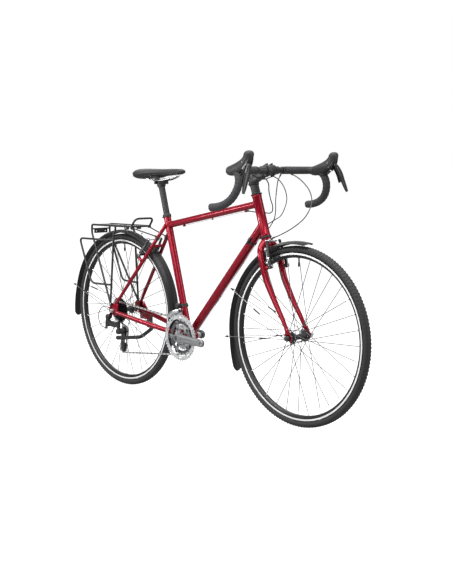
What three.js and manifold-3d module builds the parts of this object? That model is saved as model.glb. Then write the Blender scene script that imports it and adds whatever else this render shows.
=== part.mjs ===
// A touring bicycle with drop handlebars, a triple crankset, rim brakes, mudguards, a rear rack and a folded
// kickstand. Millimetres, +Z up, +X towards the front wheel, +Y to the rider's left.
// The parts are laid out from the rear axle at x = 0, and the whole bicycle is centred at the end.

import * as THREE from 'three';
import { mergeVertices } from 'three/addons/utils/BufferGeometryUtils.js';
import Module from 'manifold-3d';

// Fits
const GAP = 0.35;
const RUNNING_GAP = 0.5;
const OVERRUN = 4;

// Frame layout
const WHEELBASE = 1065;
const CHAINSTAY_LENGTH = 447;
const BRACKET_DROP = 71;
const SEAT_ANGLE = THREE.MathUtils.degToRad(74.4);
const HEAD_ANGLE = THREE.MathUtils.degToRad(72);
const SEAT_TUBE_LENGTH = 527;
const TOP_TUBE_SEAT_DROP = 46;
const HEAD_TUBE_BASE_HEIGHT = 713;
const HEAD_TUBE_LENGTH = 163;
const TOP_TUBE_DROP = 33;
const DOWN_TUBE_RISE = 46;
const FORK_OFFSET = 50;

// Frame tubes
const SEAT_TUBE_DIAMETER = 31;
const TOP_TUBE_DIAMETER = 28.6;
const DOWN_TUBE_DIAMETER = 34.9;
const HEAD_TUBE_DIAMETER = 37;
const STEERER_BORE_DIAMETER = 31;
const BRACKET_DIAMETER = 40;
const BRACKET_WIDTH = 68;
const BRACKET_BORE_DIAMETER = 26;
const CHAINSTAY_DIAMETER = 17;
const CHAINSTAY_END_DIAMETER = 15;
const CHAINSTAY_FRONT_SPREAD = 18;
// Along the stay from the dropout, then how much of its spread is left.
const CHAINSTAY_SHARES = [[0, 1], [0.755, 0.325], [0.9, 0.05], [1, 0]];
const SEATSTAY_DIAMETER = 16;
const SEATSTAY_TOP_SPREAD = 17;
const SEATSTAY_TOP_DROP = 46;
const STAY_END_SPREAD = 70.8;
const STAY_END_REACH = 30;
const BRIDGE_DIAMETER = 13;
const COLLAR_DIAMETER = 36;
const COLLAR_HEIGHT = 13;
const POST_BORE_DEPTH = 250;
const CABLE_STOP_DIAMETER = 9;
const CABLE_STOP_LENGTH = 14;
const TOP_STOP_SHARE = 0.2;

// Rear dropouts
const REAR_HUB_WIDTH = 135;
const FRONT_HUB_WIDTH = 100;
const DROPOUT_THICKNESS = 6;
const DROPOUT_RADIUS = 20;
const AXLE_DIAMETER = 10;
const HANGER_DROP = 28;
const HANGER_SETBACK = 7;
const HANGER_RADIUS = 9;
const SEATSTAY_END_RISE = 34;
const SEATSTAY_END_FORWARD = 26;
const BRIDGE_HEIGHT_SHARE = 0.74;

// Wheels
const WHEEL_RADIUS = 343;
const TYRE_WIDTH = 32;
const TYRE_HEIGHT = 25.5;
const RIM_WIDTH = 24;
const RIM_DEPTH = 20;
const SPOKE_DIAMETER = 2;
const SPOKES_PER_SIDE = 16;
const SPOKE_CROSSINGS = 3;
const HUB_FLANGE_DIAMETER = 44;
const HUB_BARREL_DIAMETER = 24;
const HUB_CAP_DIAMETER = 19;
const HUB_FLANGE_THICKNESS = 3;
const FRONT_FLANGE_SPREAD = 34;
const REAR_FLANGE_LEFT = 35;
const REAR_FLANGE_RIGHT = 21;
const FREEHUB_DIAMETER = 34;
const SKEWER_HEAD_DIAMETER = 20;
const SKEWER_HEAD_LENGTH = 13;
const QUICK_LEVER_LENGTH = 52;
const QUICK_LEVER_WIDTH = 12;
const QUICK_LEVER_THICKNESS = 6;
const QUICK_LEVER_ANGLE = THREE.MathUtils.degToRad(160);

// Drivetrain
const CHAIN_PITCH = 12.7;
const CHAIN_WIDTH = 5.6;
const CHAIN_HEIGHT = 8;
const CHAIN_LINE = 43;
const RING_SPACING = 8;
const RING_THICKNESS = 3;
const RING_TEETH = [26, 36, 48];
const COG_SPACING = 4;
const COG_THICKNESS = 2;
const COG_TEETH = [11, 12, 14, 16, 18, 20, 22, 25, 28];
const CHAIN_COG = 5;
const SPIDER_REACH = 62;
const SPIDER_ARM_WIDTH = 15;
const SPIDER_ARMS = 5;
const CRANK_LENGTH = 170;
const CRANK_ROOT_WIDTH = 36;
const CRANK_TIP_WIDTH = 27;
const CRANK_THICKNESS = 13;
const CRANK_ROOT_OFFSET = 62;
const CRANK_TIP_OFFSET = 86;
const PEDAL_HOLE_DIAMETER = 14;
const CRANK_AXLE_DIAMETER = 22;
const PULLEY_TEETH = 11;
const GUIDE_PULLEY_FORWARD = 50;
const GUIDE_PULLEY_DROP = 88;
const TENSION_PULLEY_FORWARD = 42;
const TENSION_PULLEY_DROP = 165;
const PULLEY_THICKNESS = 4;
const CAGE_PLATE_THICKNESS = 2;
const CAGE_PLATE_WIDTH = 26;
const CAGE_PLATE_OFFSET = 6;
const KNUCKLE_DIAMETER = 26;
const KNUCKLE_OFFSET = 80;
const LINK_LENGTH = 70;
const LINK_HEIGHT = 30;
const LINK_THICKNESS = 12;
const PULLEY_BOLT_DIAMETER = 7;
const BARREL_DIAMETER = 7.5;
const RING_INNER_SHARES = [0.6, 0.8, 0.62];

// Front derailleur
const SHIFTER_BAND_HEIGHT = 132;
const SHIFTER_BAND_WIDTH = 13;
const SHIFTER_BAND_THICKNESS = 4;
const SHIFTER_CAGE_RADIUS = 103;
const SHIFTER_CAGE_DEPTH = 15;
const SHIFTER_CAGE_WIDTH = 19;
const SHIFTER_CAGE_PLATE = 2;
const SHIFTER_BODY_SIZE = 20;
const SHIFTER_CAGE_ANGLES = [92, 134].map(THREE.MathUtils.degToRad);

// Steering
const STEERER_DIAMETER = 28.6;
const HEADSET_DIAMETER = 44;
const HEADSET_HEIGHT = 9;
const SPACER_DIAMETER = 34;
const SPACER_HEIGHT = 30;
const CROWN_DROP = 34;
const CROWN_DIAMETER = 38;
const BLADE_SPREAD = 49;
const BLADE_TOP_DIAMETER = 26;
const BLADE_END_DIAMETER = 14;
// Down the blade, sideways, forward, then the section's width and depth.
const BLADE_SHARES = [
  [0.05, 0.25, 0, 1, 1], [0.085, 0.62, 0, 1, 1], [0.13, 0.9, 0, 1, 1], [0.19, 1, 0, 1, 1], [0.42, 1, 0, 0.94, 0.98],
  [0.55, 1, 0.2, 0.86, 0.9], [0.68, 1, 0.45, 0.76, 0.8], [0.81, 1.02, 0.76, 0.64, 0.68], [0.93, 1.04, 0.97, 0.54, 0.54],
];
const STEM_LENGTH = 94;
const STEM_CLAMP_HEIGHT = 40;
const STEM_RISE_ANGLE = THREE.MathUtils.degToRad(6.5);
const STEM_BODY_HEIGHT = 32;
const STEM_BODY_WIDTH = 30;
const STEM_CLAMP_WIDTH = 44;
const STEM_WALL = 5;
const BAR_CLAMP_DIAMETER = 31.8;
const BAR_DIAMETER = 24;
const BAR_HALF_WIDTH = 218;
const BAR_REACH = 80;
const BAR_DROP = 135;
const BAR_FLARE = 43;
// Forward, out, down and flare of the bar's hook.
const BAR_SHARES = [
  [0, 0.85, 0, 0], [0.044, 0.94, 0, 0], [0.206, 1, 0, 0], [0.581, 1, 0.015, 0.14], [0.869, 1, 0.12, 0.256],
  [0.994, 1, 0.314, 0.395], [0.944, 1, 0.53, 0.558], [0.706, 1, 0.754, 0.72], [0.331, 1, 0.903, 0.837],
  [-0.106, 1, 0.978, 0.93], [-0.506, 1, 1, 1],
];
const BAR_BULGE_HALF = 50;
const TAPE_START = 68;
const TAPE_THICKNESS = 3.2;

// Brake and shift levers
const HOOD_LENGTH = 109;
const HOOD_RISE = 69;
const HOOD_WIDTH = 37;
const HOOD_HEIGHT = 50;
const HOOD_ROOT_SHARES = { reach: 0.2, flare: 0.14, drop: 0.015 };
// Forward, up, width and height of the hood.
const HOOD_SHARES = [
  [0, 0, 0.95, 0.8], [0.32, 0.06, 1, 0.92], [0.6, 0.19, 1, 1], [0.83, 0.41, 1, 1], [0.96, 0.65, 0.95, 0.84],
  [0.99, 0.9, 0.8, 0.6], [1, 1, 0.6, 0.28],
];
const LEVER_PIVOT_SHARES = { forward: 0.82, rise: 0.43 };
const LEVER_LENGTH = 110;
const LEVER_REACH = 43;
const LEVER_SPLAY = 52;
const LEVER_WIDTH = 15;
const LEVER_THICKNESS = 9;
// Down, forward and outward along the lever, then its width and thickness.
const LEVER_SHARES = [
  [0, 0, 0, 1, 1.2], [0.07, 0.51, 0.08, 1.05, 1.3], [0.32, 0.74, 0.38, 1.1, 1.2], [0.64, 0.86, 0.67, 1, 1],
  [1, 1, 1, 0.8, 0.7],
];
const LEVER_HINGE_ANGLE = THREE.MathUtils.degToRad(24.2);
const LEVER_NOTCH_WIDTH = 28;
const LEVER_NOTCH_LENGTH = 80;
const LEVER_NOTCH_HEIGHT = 72;
const LEVER_NOTCH_TOP = 11;

// Rim brakes
const BOSS_BELOW_RIM = 33.5;
const BOSS_STANDOFF = 25;
const BRAKE_ARM_LENGTH = 104;
const BRAKE_ARM_WIDTH = 15;
const BRAKE_ARM_THICKNESS = 9;
const BRAKE_ARM_OFFSET = 44;
const BRAKE_ARM_TOP_OFFSET = 34;
const PAD_LENGTH = 62;
const PAD_HEIGHT = 11;
const PAD_THICKNESS = 9;
const PAD_CLEARANCE = 1.8;
const BOSS_DIAMETER = 15;
const NOODLE_DIAMETER = 6;
const NOODLE_REACH = 43.5;
const NOODLE_SIDE = 46;
const NOODLE_TIP = 9;

// Mudguards
const MUDGUARD_RADIUS = 361;
const MUDGUARD_SETBACK = 5;
const MUDGUARD_WIDTH = 50;
const MUDGUARD_CROWN = 13;
const MUDGUARD_WALL = 2.4;
const MUDGUARD_STAY_DIAMETER = 3.4;
const MUDGUARD_FLARE = 18;
// Across the crowned strip, then how far up its crown.
const CROWN_SHARES = [[-1, 0], [-0.82, 0.66], [-0.34, 1], [0.34, 1], [0.82, 0.66], [1, 0]];
const REAR_MUDGUARD_ANGLES = [-20, 190].map(THREE.MathUtils.degToRad);
const FRONT_MUDGUARD_ANGLES = [79.5, 208.5].map(THREE.MathUtils.degToRad);
const REAR_STAY_ANGLE = THREE.MathUtils.degToRad(166);
const FRONT_STAY_ANGLES = [155, 186].map(THREE.MathUtils.degToRad);

// Rear rack
const RACK_ABOVE_MUDGUARD = 18;
const RACK_TUBE_DIAMETER = 9;
const RACK_BEND = 27;
const RACK_HALF_WIDTH = 50;
const RACK_FRONT = 118;
const RACK_REAR = -178;
const RACK_REAR_DROP = 24;
const RACK_FOOT_SPREAD = 78.5;
const RACK_FOOT_SETBACK = 6;
const RACK_FOOT_RISE = 31;
const RACK_RAIL_SPREAD = 88;
const RACK_RAIL_DROP = 62;
const RACK_RAIL_DEPTH = 201;
const RACK_RAIL_REAR = -222;
const RACK_RAIL_SHARE = 0.61;
const RACK_HOOP_RISE = 36;
const RACK_HOOP_LEAN = 28;
const RACK_STAY_DIAMETER = 6;
const RACK_STAY_SHARE = 0.84;
const RACK_DECK_STRIP = 22;
const RACK_BAR_SHARES = [0.04, 0.36, 0.68, 0.92];

// Seat
const POST_DIAMETER = 27.2;
const POST_INSERTION = 110;
const POST_HEIGHT = 131;
const POST_HEAD_DIAMETER = 28;
const RAIL_DIAMETER = 7;
const RAIL_SPREAD = 22;
const RAIL_RISE = 18.23;
const SADDLE_SETBACK = 124.39;
const SADDLE_LENGTH = 274;
const SADDLE_WIDTH = 148;
const SADDLE_NOSE_WIDTH = 38;
const SADDLE_RISE = 48;
const SADDLE_DEPTH = 30;
const SADDLE_NOSE_DEPTH = 21;
// Forward, then how wide, how far below the top and how deep.
const SADDLE_SHARES = [
  [0, 0.6, 0.24, 0.1], [0.03, 0.86, 0.08, 0.7], [0.12, 1, 0, 1], [0.28, 0.96, 0.03, 1], [0.42, 0.62, 0.08, 0.9],
  [0.56, 0.3, 0.1, 0.6], [0.76, 0.08, 0.08, 0.3], [0.93, 0, 0.1, 0], [1, -0.12, 0.22, -0.7],
];
// Across, then up: the crowned top first, then the drawn-in sides and the flat underside.
const SADDLE_RING_SHARES = [
  [0, 1], [0.52, 0.95], [0.86, 0.72], [1, 0.25], [0.9, -0.45], [0.52, -1], [0, -1], [-0.52, -1], [-0.9, -0.45],
  [-1, 0.25], [-0.86, 0.72], [-0.52, 0.95],
];
const RAIL_SHARES = { rearTip: 0.12, rearBend: 0.3, frontBend: 0.6, frontTip: 0.86, rearSpread: 1.4, frontSpread: 0.35 };

// Kickstand
const KICKSTAND_PIVOT_FORWARD = 78;
const KICKSTAND_PIVOT_DROP = 92;
const KICKSTAND_OFFSET = 84;
const KICKSTAND_LENGTH = 258;
const KICKSTAND_LEG_DIAMETER = 14;
const KICKSTAND_FOOT_DIAMETER = 20;
const KICKSTAND_FOOT_LENGTH = 66;
const KICKSTAND_BEND_SHARES = { back: 0.295, drop: 0.178 };
const KICKSTAND_DROP_SHARE = 0.271;
const KICKSTAND_SPLAY_ANGLE = THREE.MathUtils.degToRad(11.4);

// Cable housings
const BRAKE_HOUSING_DIAMETER = 5;
const GEAR_HOUSING_DIAMETER = 4.4;
const CORD_SPAN = 100;
// Where each housing runs, in shares of the span: forward, left and up from the middle of the handlebar.
const FRONT_BRAKE_LOOP_SHARES = [
  [0.102, 1.12, -0.151], [0.362, 1.06, -0.221], [0.752, 0.98, -0.391], [1.262, 0.85, -0.731],
  [1.592, 0.65, -1.081], [1.712, 0.45, -1.381], [1.632, 0.18, -1.791], [1.272, -0.12, -2.171],
  [0.882, -0.36, -2.421], [0.652, -0.46, -2.521],
];
const REAR_BRAKE_LOOP_SHARES = [
  [-0.058, -0.84, -0.191], [-0.058, -0.5, -0.261], [-0.068, -0.12, -0.331], [-0.088, 0.06, -0.521],
  [-0.088, 0.08, -0.771], [-0.028, 0.12, -1.121], [-0.008, 0.2, -1.351], [-0.058, 0.24, -1.551],
  [-0.178, 0.25, -1.631], [-0.418, 0.24, -1.631], [-0.638, 0.18, -1.631], [-0.888, 0.07, -1.601],
  [-1.058, 0.015, -1.576], [-1.182, 0, -1.571],
];
const LEFT_SHIFT_LOOP_SHARES = [
  [-0.078, 0.72, -0.161], [-0.088, 0.58, -0.391], [-0.088, 0.5, -0.771], [-0.078, 0.44, -1.161],
  [-0.058, 0.42, -1.551], [-0.108, 0.4, -1.851], [-0.248, 0.32, -2.151], [-0.408, 0.24, -2.371],
  [-0.56, 0.17, -2.533],
];
const RIGHT_SHIFT_LOOP_SHARES = [
  [-0.158, -0.72, -0.176], [-0.228, -0.4, -0.281], [-0.228, 0, -0.341], [-0.148, 0.38, -0.241],
  [0.052, 0.48, -0.371], [0.302, 0.5, -0.641], [0.432, 0.5, -0.931], [0.472, 0.48, -1.121],
  [0.432, 0.45, -1.351], [0.262, 0.38, -1.721], [-0.008, 0.3, -1.901], [-0.288, 0.24, -2.066],
  [-0.406, 0.21, -2.184],
];
// The same from the rear axle.
const REAR_GEAR_LOOP_SHARES = [
  [-0.17, -0.775, 0.12], [-0.51, -0.78, 0.17], [-0.82, -0.79, 0], [-0.96, -0.8, -0.27],
  [-0.92, -0.8, -0.55], [-0.72, -0.8, -0.75], [-0.42, -0.8, -0.81],
];

// How finely round things are faceted
const WHEEL_STEPS = 40;
const TUBE_SIDES = 12;
const ROD_SIDES = 6;
const SPOKE_SIDES = 3;
const CORD_SIDES = 8;
const CHAIN_STEPS_PER_RADIAN = 5;
const RING_STEPS = 26;

const PAINT = { color: 0x9c0a20, roughness: 0.25, metalness: 0.5 };
const BLACK = { color: 0x1c1c1e, roughness: 0.5, metalness: 0.2 };
const RUBBER = { color: 0x232323, roughness: 0.9, metalness: 0 };
const SILVER = { color: 0xb9bcc0, roughness: 0.35, metalness: 0.9 };
const GREY = { color: 0x8d9094, roughness: 0.4, metalness: 0.8 };

const wasm = await Module();
wasm.setup();

const bicycle = new THREE.Group();
const at = (x, y, z) => new THREE.Vector3(x, y, z);
const AXLE_LINE = at(0, 1, 0);
const SIDES = { left: 1, right: -1 };

// Turns a closed geometry into a solid, with its faces pointing out.
function solid(geometry) {
  const plain = geometry.clone();
  plain.deleteAttribute('normal');
  plain.deleteAttribute('uv');
  const merged = mergeVertices(plain);
  const corners = merged.attributes.position;
  const triangles = [];
  const [a, b, c] = [at(0, 0, 0), at(0, 0, 0), at(0, 0, 0)];
  let volume = 0;
  for (let i = 0; i < merged.index.count; i += 3) {
    const [p, q, r] = [merged.index.getX(i), merged.index.getX(i + 1), merged.index.getX(i + 2)];
    if (p === q || q === r || r === p) continue;
    triangles.push(p, q, r);
    a.fromBufferAttribute(corners, p);
    b.fromBufferAttribute(corners, q);
    c.fromBufferAttribute(corners, r);
    volume += a.dot(b.cross(c));
  }
  if (volume < 0) triangles.reverse();
  return new wasm.Manifold(new wasm.Mesh({
    numProp: 3,
    vertProperties: new Float32Array(corners.array),
    triVerts: new Uint32Array(triangles),
  }));
}

// The radius of a faceted bore whose flats stay clear of a round part that turns in it.
const turnable = (radius) => (radius + GAP) / Math.cos(Math.PI / TUBE_SIDES);

const join = (...parts) => parts.reduce((whole, part) => whole.add(part));
const cut = (whole, ...tools) => tools.reduce((left, tool) => left.subtract(tool), whole);

// Adds a solid to the bicycle as one named piece.
function piece(name, shape, finish) {
  const { vertProperties, triVerts } = shape.getMesh();
  const geometry = new THREE.BufferGeometry();
  geometry.setAttribute('position', new THREE.BufferAttribute(new Float32Array(vertProperties), 3));
  geometry.setIndex(Array.from(triVerts));
  geometry.computeVertexNormals();
  const mesh = new THREE.Mesh(geometry, new THREE.MeshStandardMaterial(finish));
  mesh.name = name;
  bicycle.add(mesh);
}

// A straight round bar between two points, tapered when it has two radii.
function rod(start, end, radius, endRadius = radius, sides = TUBE_SIDES) {
  const along = end.clone().sub(start);
  const geometry = new THREE.CylinderGeometry(endRadius, radius, along.length(), sides);
  geometry.applyQuaternion(new THREE.Quaternion().setFromUnitVectors(AXLE_LINE, along.clone().normalize()));
  const middle = start.clone().add(end).multiplyScalar(0.5);
  geometry.translate(middle.x, middle.y, middle.z);
  return solid(geometry);
}

function block(centre, sizeX, sizeY, sizeZ, tilt = 0) {
  const geometry = new THREE.BoxGeometry(sizeX, sizeY, sizeZ);
  geometry.rotateY(-tilt);
  geometry.translate(centre.x, centre.y, centre.z);
  return solid(geometry);
}

// A round part turned about a line parallel to the axles, from [radius, sideways] points.
function turned(profile, centre, steps = WHEEL_STEPS) {
  const points = profile.map(([radius, sideways]) => new THREE.Vector2(radius, sideways));
  const geometry = new THREE.LatheGeometry(points, steps);
  geometry.translate(centre.x, centre.y, centre.z);
  return solid(geometry);
}

// A flat plate standing along the bicycle, from [forward, up] points, between two sideways places.
function plate(outline, from, to, hole) {
  const shape = new THREE.Shape(outline.map(([x, z]) => new THREE.Vector2(x, z)));
  if (hole) shape.holes.push(new THREE.Path(hole.map(([x, z]) => new THREE.Vector2(x, z))));
  const geometry = new THREE.ExtrudeGeometry(shape, { depth: Math.abs(to - from), bevelEnabled: false });
  geometry.rotateX(Math.PI / 2);
  geometry.translate(0, Math.max(from, to), 0);
  return solid(geometry);
}

// A path through chosen places, with one ring of a tube at each of them.
class Route extends THREE.Curve {
  constructor(places, across) {
    super();
    this.places = places;
    this.across = across;
  }
  getPoint(share) {
    const place = share * (this.places.length - 1);
    const index = Math.min(Math.floor(place), this.places.length - 2);
    return this.places[index].clone().lerp(this.places[index + 1], place - index);
  }
  getPointAt(share) {
    return this.getPoint(share);
  }
  getTangentAt(share) {
    const last = this.places.length - 1;
    const index = Math.round(share * last);
    const before = this.places[Math.max(index - 1, 0)];
    const after = this.places[Math.min(index + 1, last)];
    return after.clone().sub(before).normalize();
  }
  computeFrenetFrames(steps, closed) {
    if (!this.across) return super.computeFrenetFrames(steps, closed);
    const frames = { tangents: [], normals: [], binormals: [] };
    for (let i = 0; i <= steps; i++) {
      const tangent = this.getTangentAt(i / steps);
      frames.tangents.push(tangent);
      frames.normals.push(this.across.clone());
      frames.binormals.push(tangent.clone().cross(this.across));
    }
    return frames;
  }
}

function polygon(radius, sides) {
  const shape = new THREE.Shape();
  shape.setFromPoints(Array.from({ length: sides }, (_, i) => {
    const turn = (2 * Math.PI * (i + 0.5)) / sides;
    return new THREE.Vector2(radius * Math.cos(turn), radius * Math.sin(turn));
  }));
  return shape;
}

function along(places, shape, across) {
  const extrudePath = new Route(places, across);
  return solid(new THREE.ExtrudeGeometry(shape, {
    steps: places.length - 1, extrudePath, bevelEnabled: false,
  }));
}

const tube = (places, radius, sides = ROD_SIDES) => along(places, polygon(radius, sides));

// Rounds the inner corners of a list of places.
function rounded(places, radius, steps = 3) {
  const out = [places[0]];
  for (let i = 1; i < places.length - 1; i++) {
    const corner = places[i];
    const back = places[i - 1].clone().sub(corner);
    const ahead = places[i + 1].clone().sub(corner);
    const reach = Math.min(radius, back.length() / 2, ahead.length() / 2);
    const start = corner.clone().add(back.setLength(reach));
    const end = corner.clone().add(ahead.setLength(reach));
    const bend = new THREE.QuadraticBezierCurve3(start, corner, end);
    out.push(...bend.getPoints(steps));
  }
  out.push(places.at(-1));
  return out;
}

// A smooth curve through hand-chosen places, with evenly spaced rings.
const smooth = (places, steps) => new THREE.CatmullRomCurve3(places, false, 'centripetal').getSpacedPoints(steps);

// A limb whose section changes along its places: each station has a place, a width and a height.
function limb(stations, across, sides = TUBE_SIDES) {
  const last = stations.length - 1;
  const geometry = new THREE.CylinderGeometry(1, 1, 1, sides, last);
  const corners = geometry.attributes.position;
  const route = new Route(stations.map((station) => station.place));
  for (let i = 0; i < corners.count; i++) {
    const index = Math.round((corners.getY(i) + 0.5) * last);
    const { place, wide, tall } = stations[index];
    const tangent = route.getTangentAt(index / last);
    const side = across.clone().addScaledVector(tangent, -across.dot(tangent)).normalize();
    const up = tangent.cross(side);
    const corner = place.clone().addScaledVector(side, corners.getX(i) * wide / 2);
    corner.addScaledVector(up, corners.getZ(i) * tall / 2);
    corners.setXYZ(i, corner.x, corner.y, corner.z);
  }
  return solid(geometry);
}

// Main points of the frame
const rackHeight = WHEEL_RADIUS + MUDGUARD_RADIUS + RACK_ABOVE_MUDGUARD;
const rackRail = rackHeight - RACK_RAIL_DROP;
const rackRailFoot = rackRail - RACK_RAIL_DEPTH;
const topTubeSeat = SEAT_TUBE_LENGTH - TOP_TUBE_SEAT_DROP;
const bossRadius = WHEEL_RADIUS - TYRE_HEIGHT - BOSS_BELOW_RIM;
const rearAxle = at(0, 0, WHEEL_RADIUS);
const frontAxle = at(WHEELBASE, 0, WHEEL_RADIUS);
const bracket = at(Math.sqrt(CHAINSTAY_LENGTH ** 2 - BRACKET_DROP ** 2), 0, WHEEL_RADIUS - BRACKET_DROP);
const seatLine = at(-Math.cos(SEAT_ANGLE), 0, Math.sin(SEAT_ANGLE));
const headLine = at(-Math.cos(HEAD_ANGLE), 0, Math.sin(HEAD_ANGLE));
const headForward = at(Math.sin(HEAD_ANGLE), 0, Math.cos(HEAD_ANGLE));
const onSeat = (distance) => bracket.clone().addScaledVector(seatLine, distance);
const headBase = at(
  WHEELBASE - FORK_OFFSET / Math.sin(HEAD_ANGLE)
    - (HEAD_TUBE_BASE_HEIGHT - WHEEL_RADIUS) / Math.tan(HEAD_ANGLE),
  0,
  HEAD_TUBE_BASE_HEIGHT,
);
const postTop = onSeat(SEAT_TUBE_LENGTH + POST_HEIGHT);
const railHeight = postTop.z + RAIL_RISE;
const saddleTop = railHeight + SADDLE_RISE;
const saddleRear = postTop.x - SADDLE_SETBACK;
const onHead = (distance) => headBase.clone().addScaledVector(headLine, distance);
const moved = (place, x, y, z) => place.clone().add(at(x, y, z));
const sideways = (place, y) => at(place.x, y, place.z);

// The last place of a housing, and the stop on the frame that it ends in.
const cordEnd = (origin, shares) => moved(origin, ...shares.at(-1).map((share) => CORD_SPAN * share));
const cableStop = (end, way) => rod(end.clone().addScaledVector(way, 4 * GAP),
  end.clone().addScaledVector(way, CABLE_STOP_LENGTH), CABLE_STOP_DIAMETER / 2, CABLE_STOP_DIAMETER / 2, ROD_SIDES);

function frameTubes() {
  const seatTop = onSeat(SEAT_TUBE_LENGTH);
  const headTop = onHead(HEAD_TUBE_LENGTH);
  const past = (from, to, extra) => to.clone().add(to.clone().sub(from).setLength(extra));
  const headSkin = rod(past(headTop, headBase, OVERRUN), past(headBase, headTop, OVERRUN),
    HEAD_TUBE_DIAMETER / 2 + GAP);
  const bracketSkin = rod(sideways(bracket, -BRACKET_WIDTH), sideways(bracket, BRACKET_WIDTH),
    BRACKET_DIAMETER / 2 + GAP);
  const seatSkin = rod(bracket, seatTop, SEAT_TUBE_DIAMETER / 2 + GAP);

  const steererBore = rod(past(headTop, headBase, OVERRUN), past(headBase, headTop, OVERRUN),
    STEERER_BORE_DIAMETER / 2);
  // The post slides in a bore that is open at the top, and the collar closes round the tube's mouth.
  const postBore = rod(onSeat(SEAT_TUBE_LENGTH - POST_BORE_DEPTH), past(bracket, seatTop, OVERRUN),
    POST_DIAMETER / 2 + RUNNING_GAP);
  const shell = rod(sideways(bracket, -BRACKET_WIDTH / 2), sideways(bracket, BRACKET_WIDTH / 2),
    BRACKET_DIAMETER / 2);
  const shellBore = rod(sideways(bracket, -BRACKET_WIDTH), sideways(bracket, BRACKET_WIDTH),
    BRACKET_BORE_DIAMETER / 2);
  piece('seat_tube_and_bottom_bracket',
    cut(join(rod(bracket, seatTop, SEAT_TUBE_DIAMETER / 2), shell), shellBore, postBore), PAINT);
  const collar = rod(onSeat(SEAT_TUBE_LENGTH - COLLAR_HEIGHT), seatTop, COLLAR_DIAMETER / 2);
  const ears = block(moved(onSeat(SEAT_TUBE_LENGTH - COLLAR_HEIGHT / 2), -COLLAR_DIAMETER / 2, 0, 0),
    COLLAR_DIAMETER / 2, COLLAR_HEIGHT, COLLAR_HEIGHT - OVERRUN);
  const collarSkin = rod(onSeat(SEAT_TUBE_LENGTH - POST_BORE_DEPTH), past(bracket, seatTop, OVERRUN),
    SEAT_TUBE_DIAMETER / 2 + GAP);
  piece('seat_collar', cut(join(collar, ears), collarSkin), BLACK);

  const topFront = onHead(HEAD_TUBE_LENGTH - TOP_TUBE_DROP);
  const topRear = onSeat(topTubeSeat);
  const topTube = rod(topRear, topFront, TOP_TUBE_DIAMETER / 2);
  const backTop = topRear.clone().sub(topFront).normalize();
  const rearStop = topRear.clone().lerp(topFront, TOP_STOP_SHARE);
  rearStop.z -= (TOP_TUBE_DIAMETER + CABLE_STOP_DIAMETER) / 2 - 2 * GAP;
  const topStops = [cableStop(cordEnd(barCentre, REAR_BRAKE_LOOP_SHARES), backTop), cableStop(rearStop, backTop)];
  piece('top_tube', cut(join(topTube, ...topStops), headSkin, seatSkin), PAINT);

  const downFront = onHead(DOWN_TUBE_RISE);
  const downTube = rod(bracket, downFront, DOWN_TUBE_DIAMETER / 2);
  const backDown = bracket.clone().sub(downFront).normalize();
  const downStops = [LEFT_SHIFT_LOOP_SHARES, RIGHT_SHIFT_LOOP_SHARES].map(
    (shares) => cableStop(cordEnd(barCentre, shares), backDown));
  const headTube = rod(headBase, headTop, HEAD_TUBE_DIAMETER / 2);
  piece('down_tube_and_head_tube',
    cut(join(downTube, headTube, ...downStops), steererBore, bracketSkin, seatSkin), PAINT);
}

// The end of the stays that holds the rear axle in a slot open to the front and down.
function dropout(side, outline) {
  const inner = side * (REAR_HUB_WIDTH / 2 + GAP);
  const outer = inner + side * DROPOUT_THICKNESS;
  const slot = join(
    rod(sideways(rearAxle, inner - side * OVERRUN), sideways(rearAxle, outer + side * OVERRUN),
      AXLE_DIAMETER / 2 + RUNNING_GAP),
    block(moved(rearAxle, 0, inner, -DROPOUT_RADIUS), AXLE_DIAMETER + 2 * RUNNING_GAP,
      4 * DROPOUT_THICKNESS, 2 * DROPOUT_RADIUS),
  );
  return cut(plate(outline, inner, outer), slot);
}

function dropoutOutline() {
  return [
    [-DROPOUT_RADIUS, WHEEL_RADIUS - DROPOUT_RADIUS],
    [STAY_END_REACH, WHEEL_RADIUS - DROPOUT_RADIUS],
    [STAY_END_REACH + CHAINSTAY_END_DIAMETER / 2, WHEEL_RADIUS - CHAINSTAY_END_DIAMETER / 2],
    [STAY_END_REACH + SEATSTAY_DIAMETER / 2, WHEEL_RADIUS + SEATSTAY_END_RISE],
    [-RACK_FOOT_SETBACK - DROPOUT_RADIUS / 4, WHEEL_RADIUS + SEATSTAY_END_RISE],
    [-DROPOUT_RADIUS, WHEEL_RADIUS + DROPOUT_RADIUS / 2],
  ];
}

// The lug below the right dropout that carries the rear derailleur.
function hanger(side) {
  const inner = side * (REAR_HUB_WIDTH / 2 + GAP);
  const outer = inner + side * DROPOUT_THICKNESS;
  const hole = moved(rearAxle, -HANGER_SETBACK - DROPOUT_RADIUS / 2, 0, -HANGER_DROP);
  const stop = cordEnd(rearAxle, REAR_GEAR_LOOP_SHARES.slice(0, 1));
  return join(
    rod(moved(stop, 2 * GAP, 0, 0), moved(stop, CABLE_STOP_LENGTH / 2, 0, 0), CABLE_STOP_DIAMETER / 2,
      CABLE_STOP_DIAMETER / 2, ROD_SIDES),
    rod(sideways(hole, inner), sideways(hole, outer), HANGER_RADIUS),
    plate([
      [hole.x - HANGER_RADIUS, hole.z], [hole.x + HANGER_RADIUS, hole.z],
      [-AXLE_DIAMETER / 2 - RUNNING_GAP, WHEEL_RADIUS - DROPOUT_RADIUS / 2],
      [-DROPOUT_RADIUS, WHEEL_RADIUS - DROPOUT_RADIUS / 2],
    ], inner, outer),
  );
}

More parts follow.
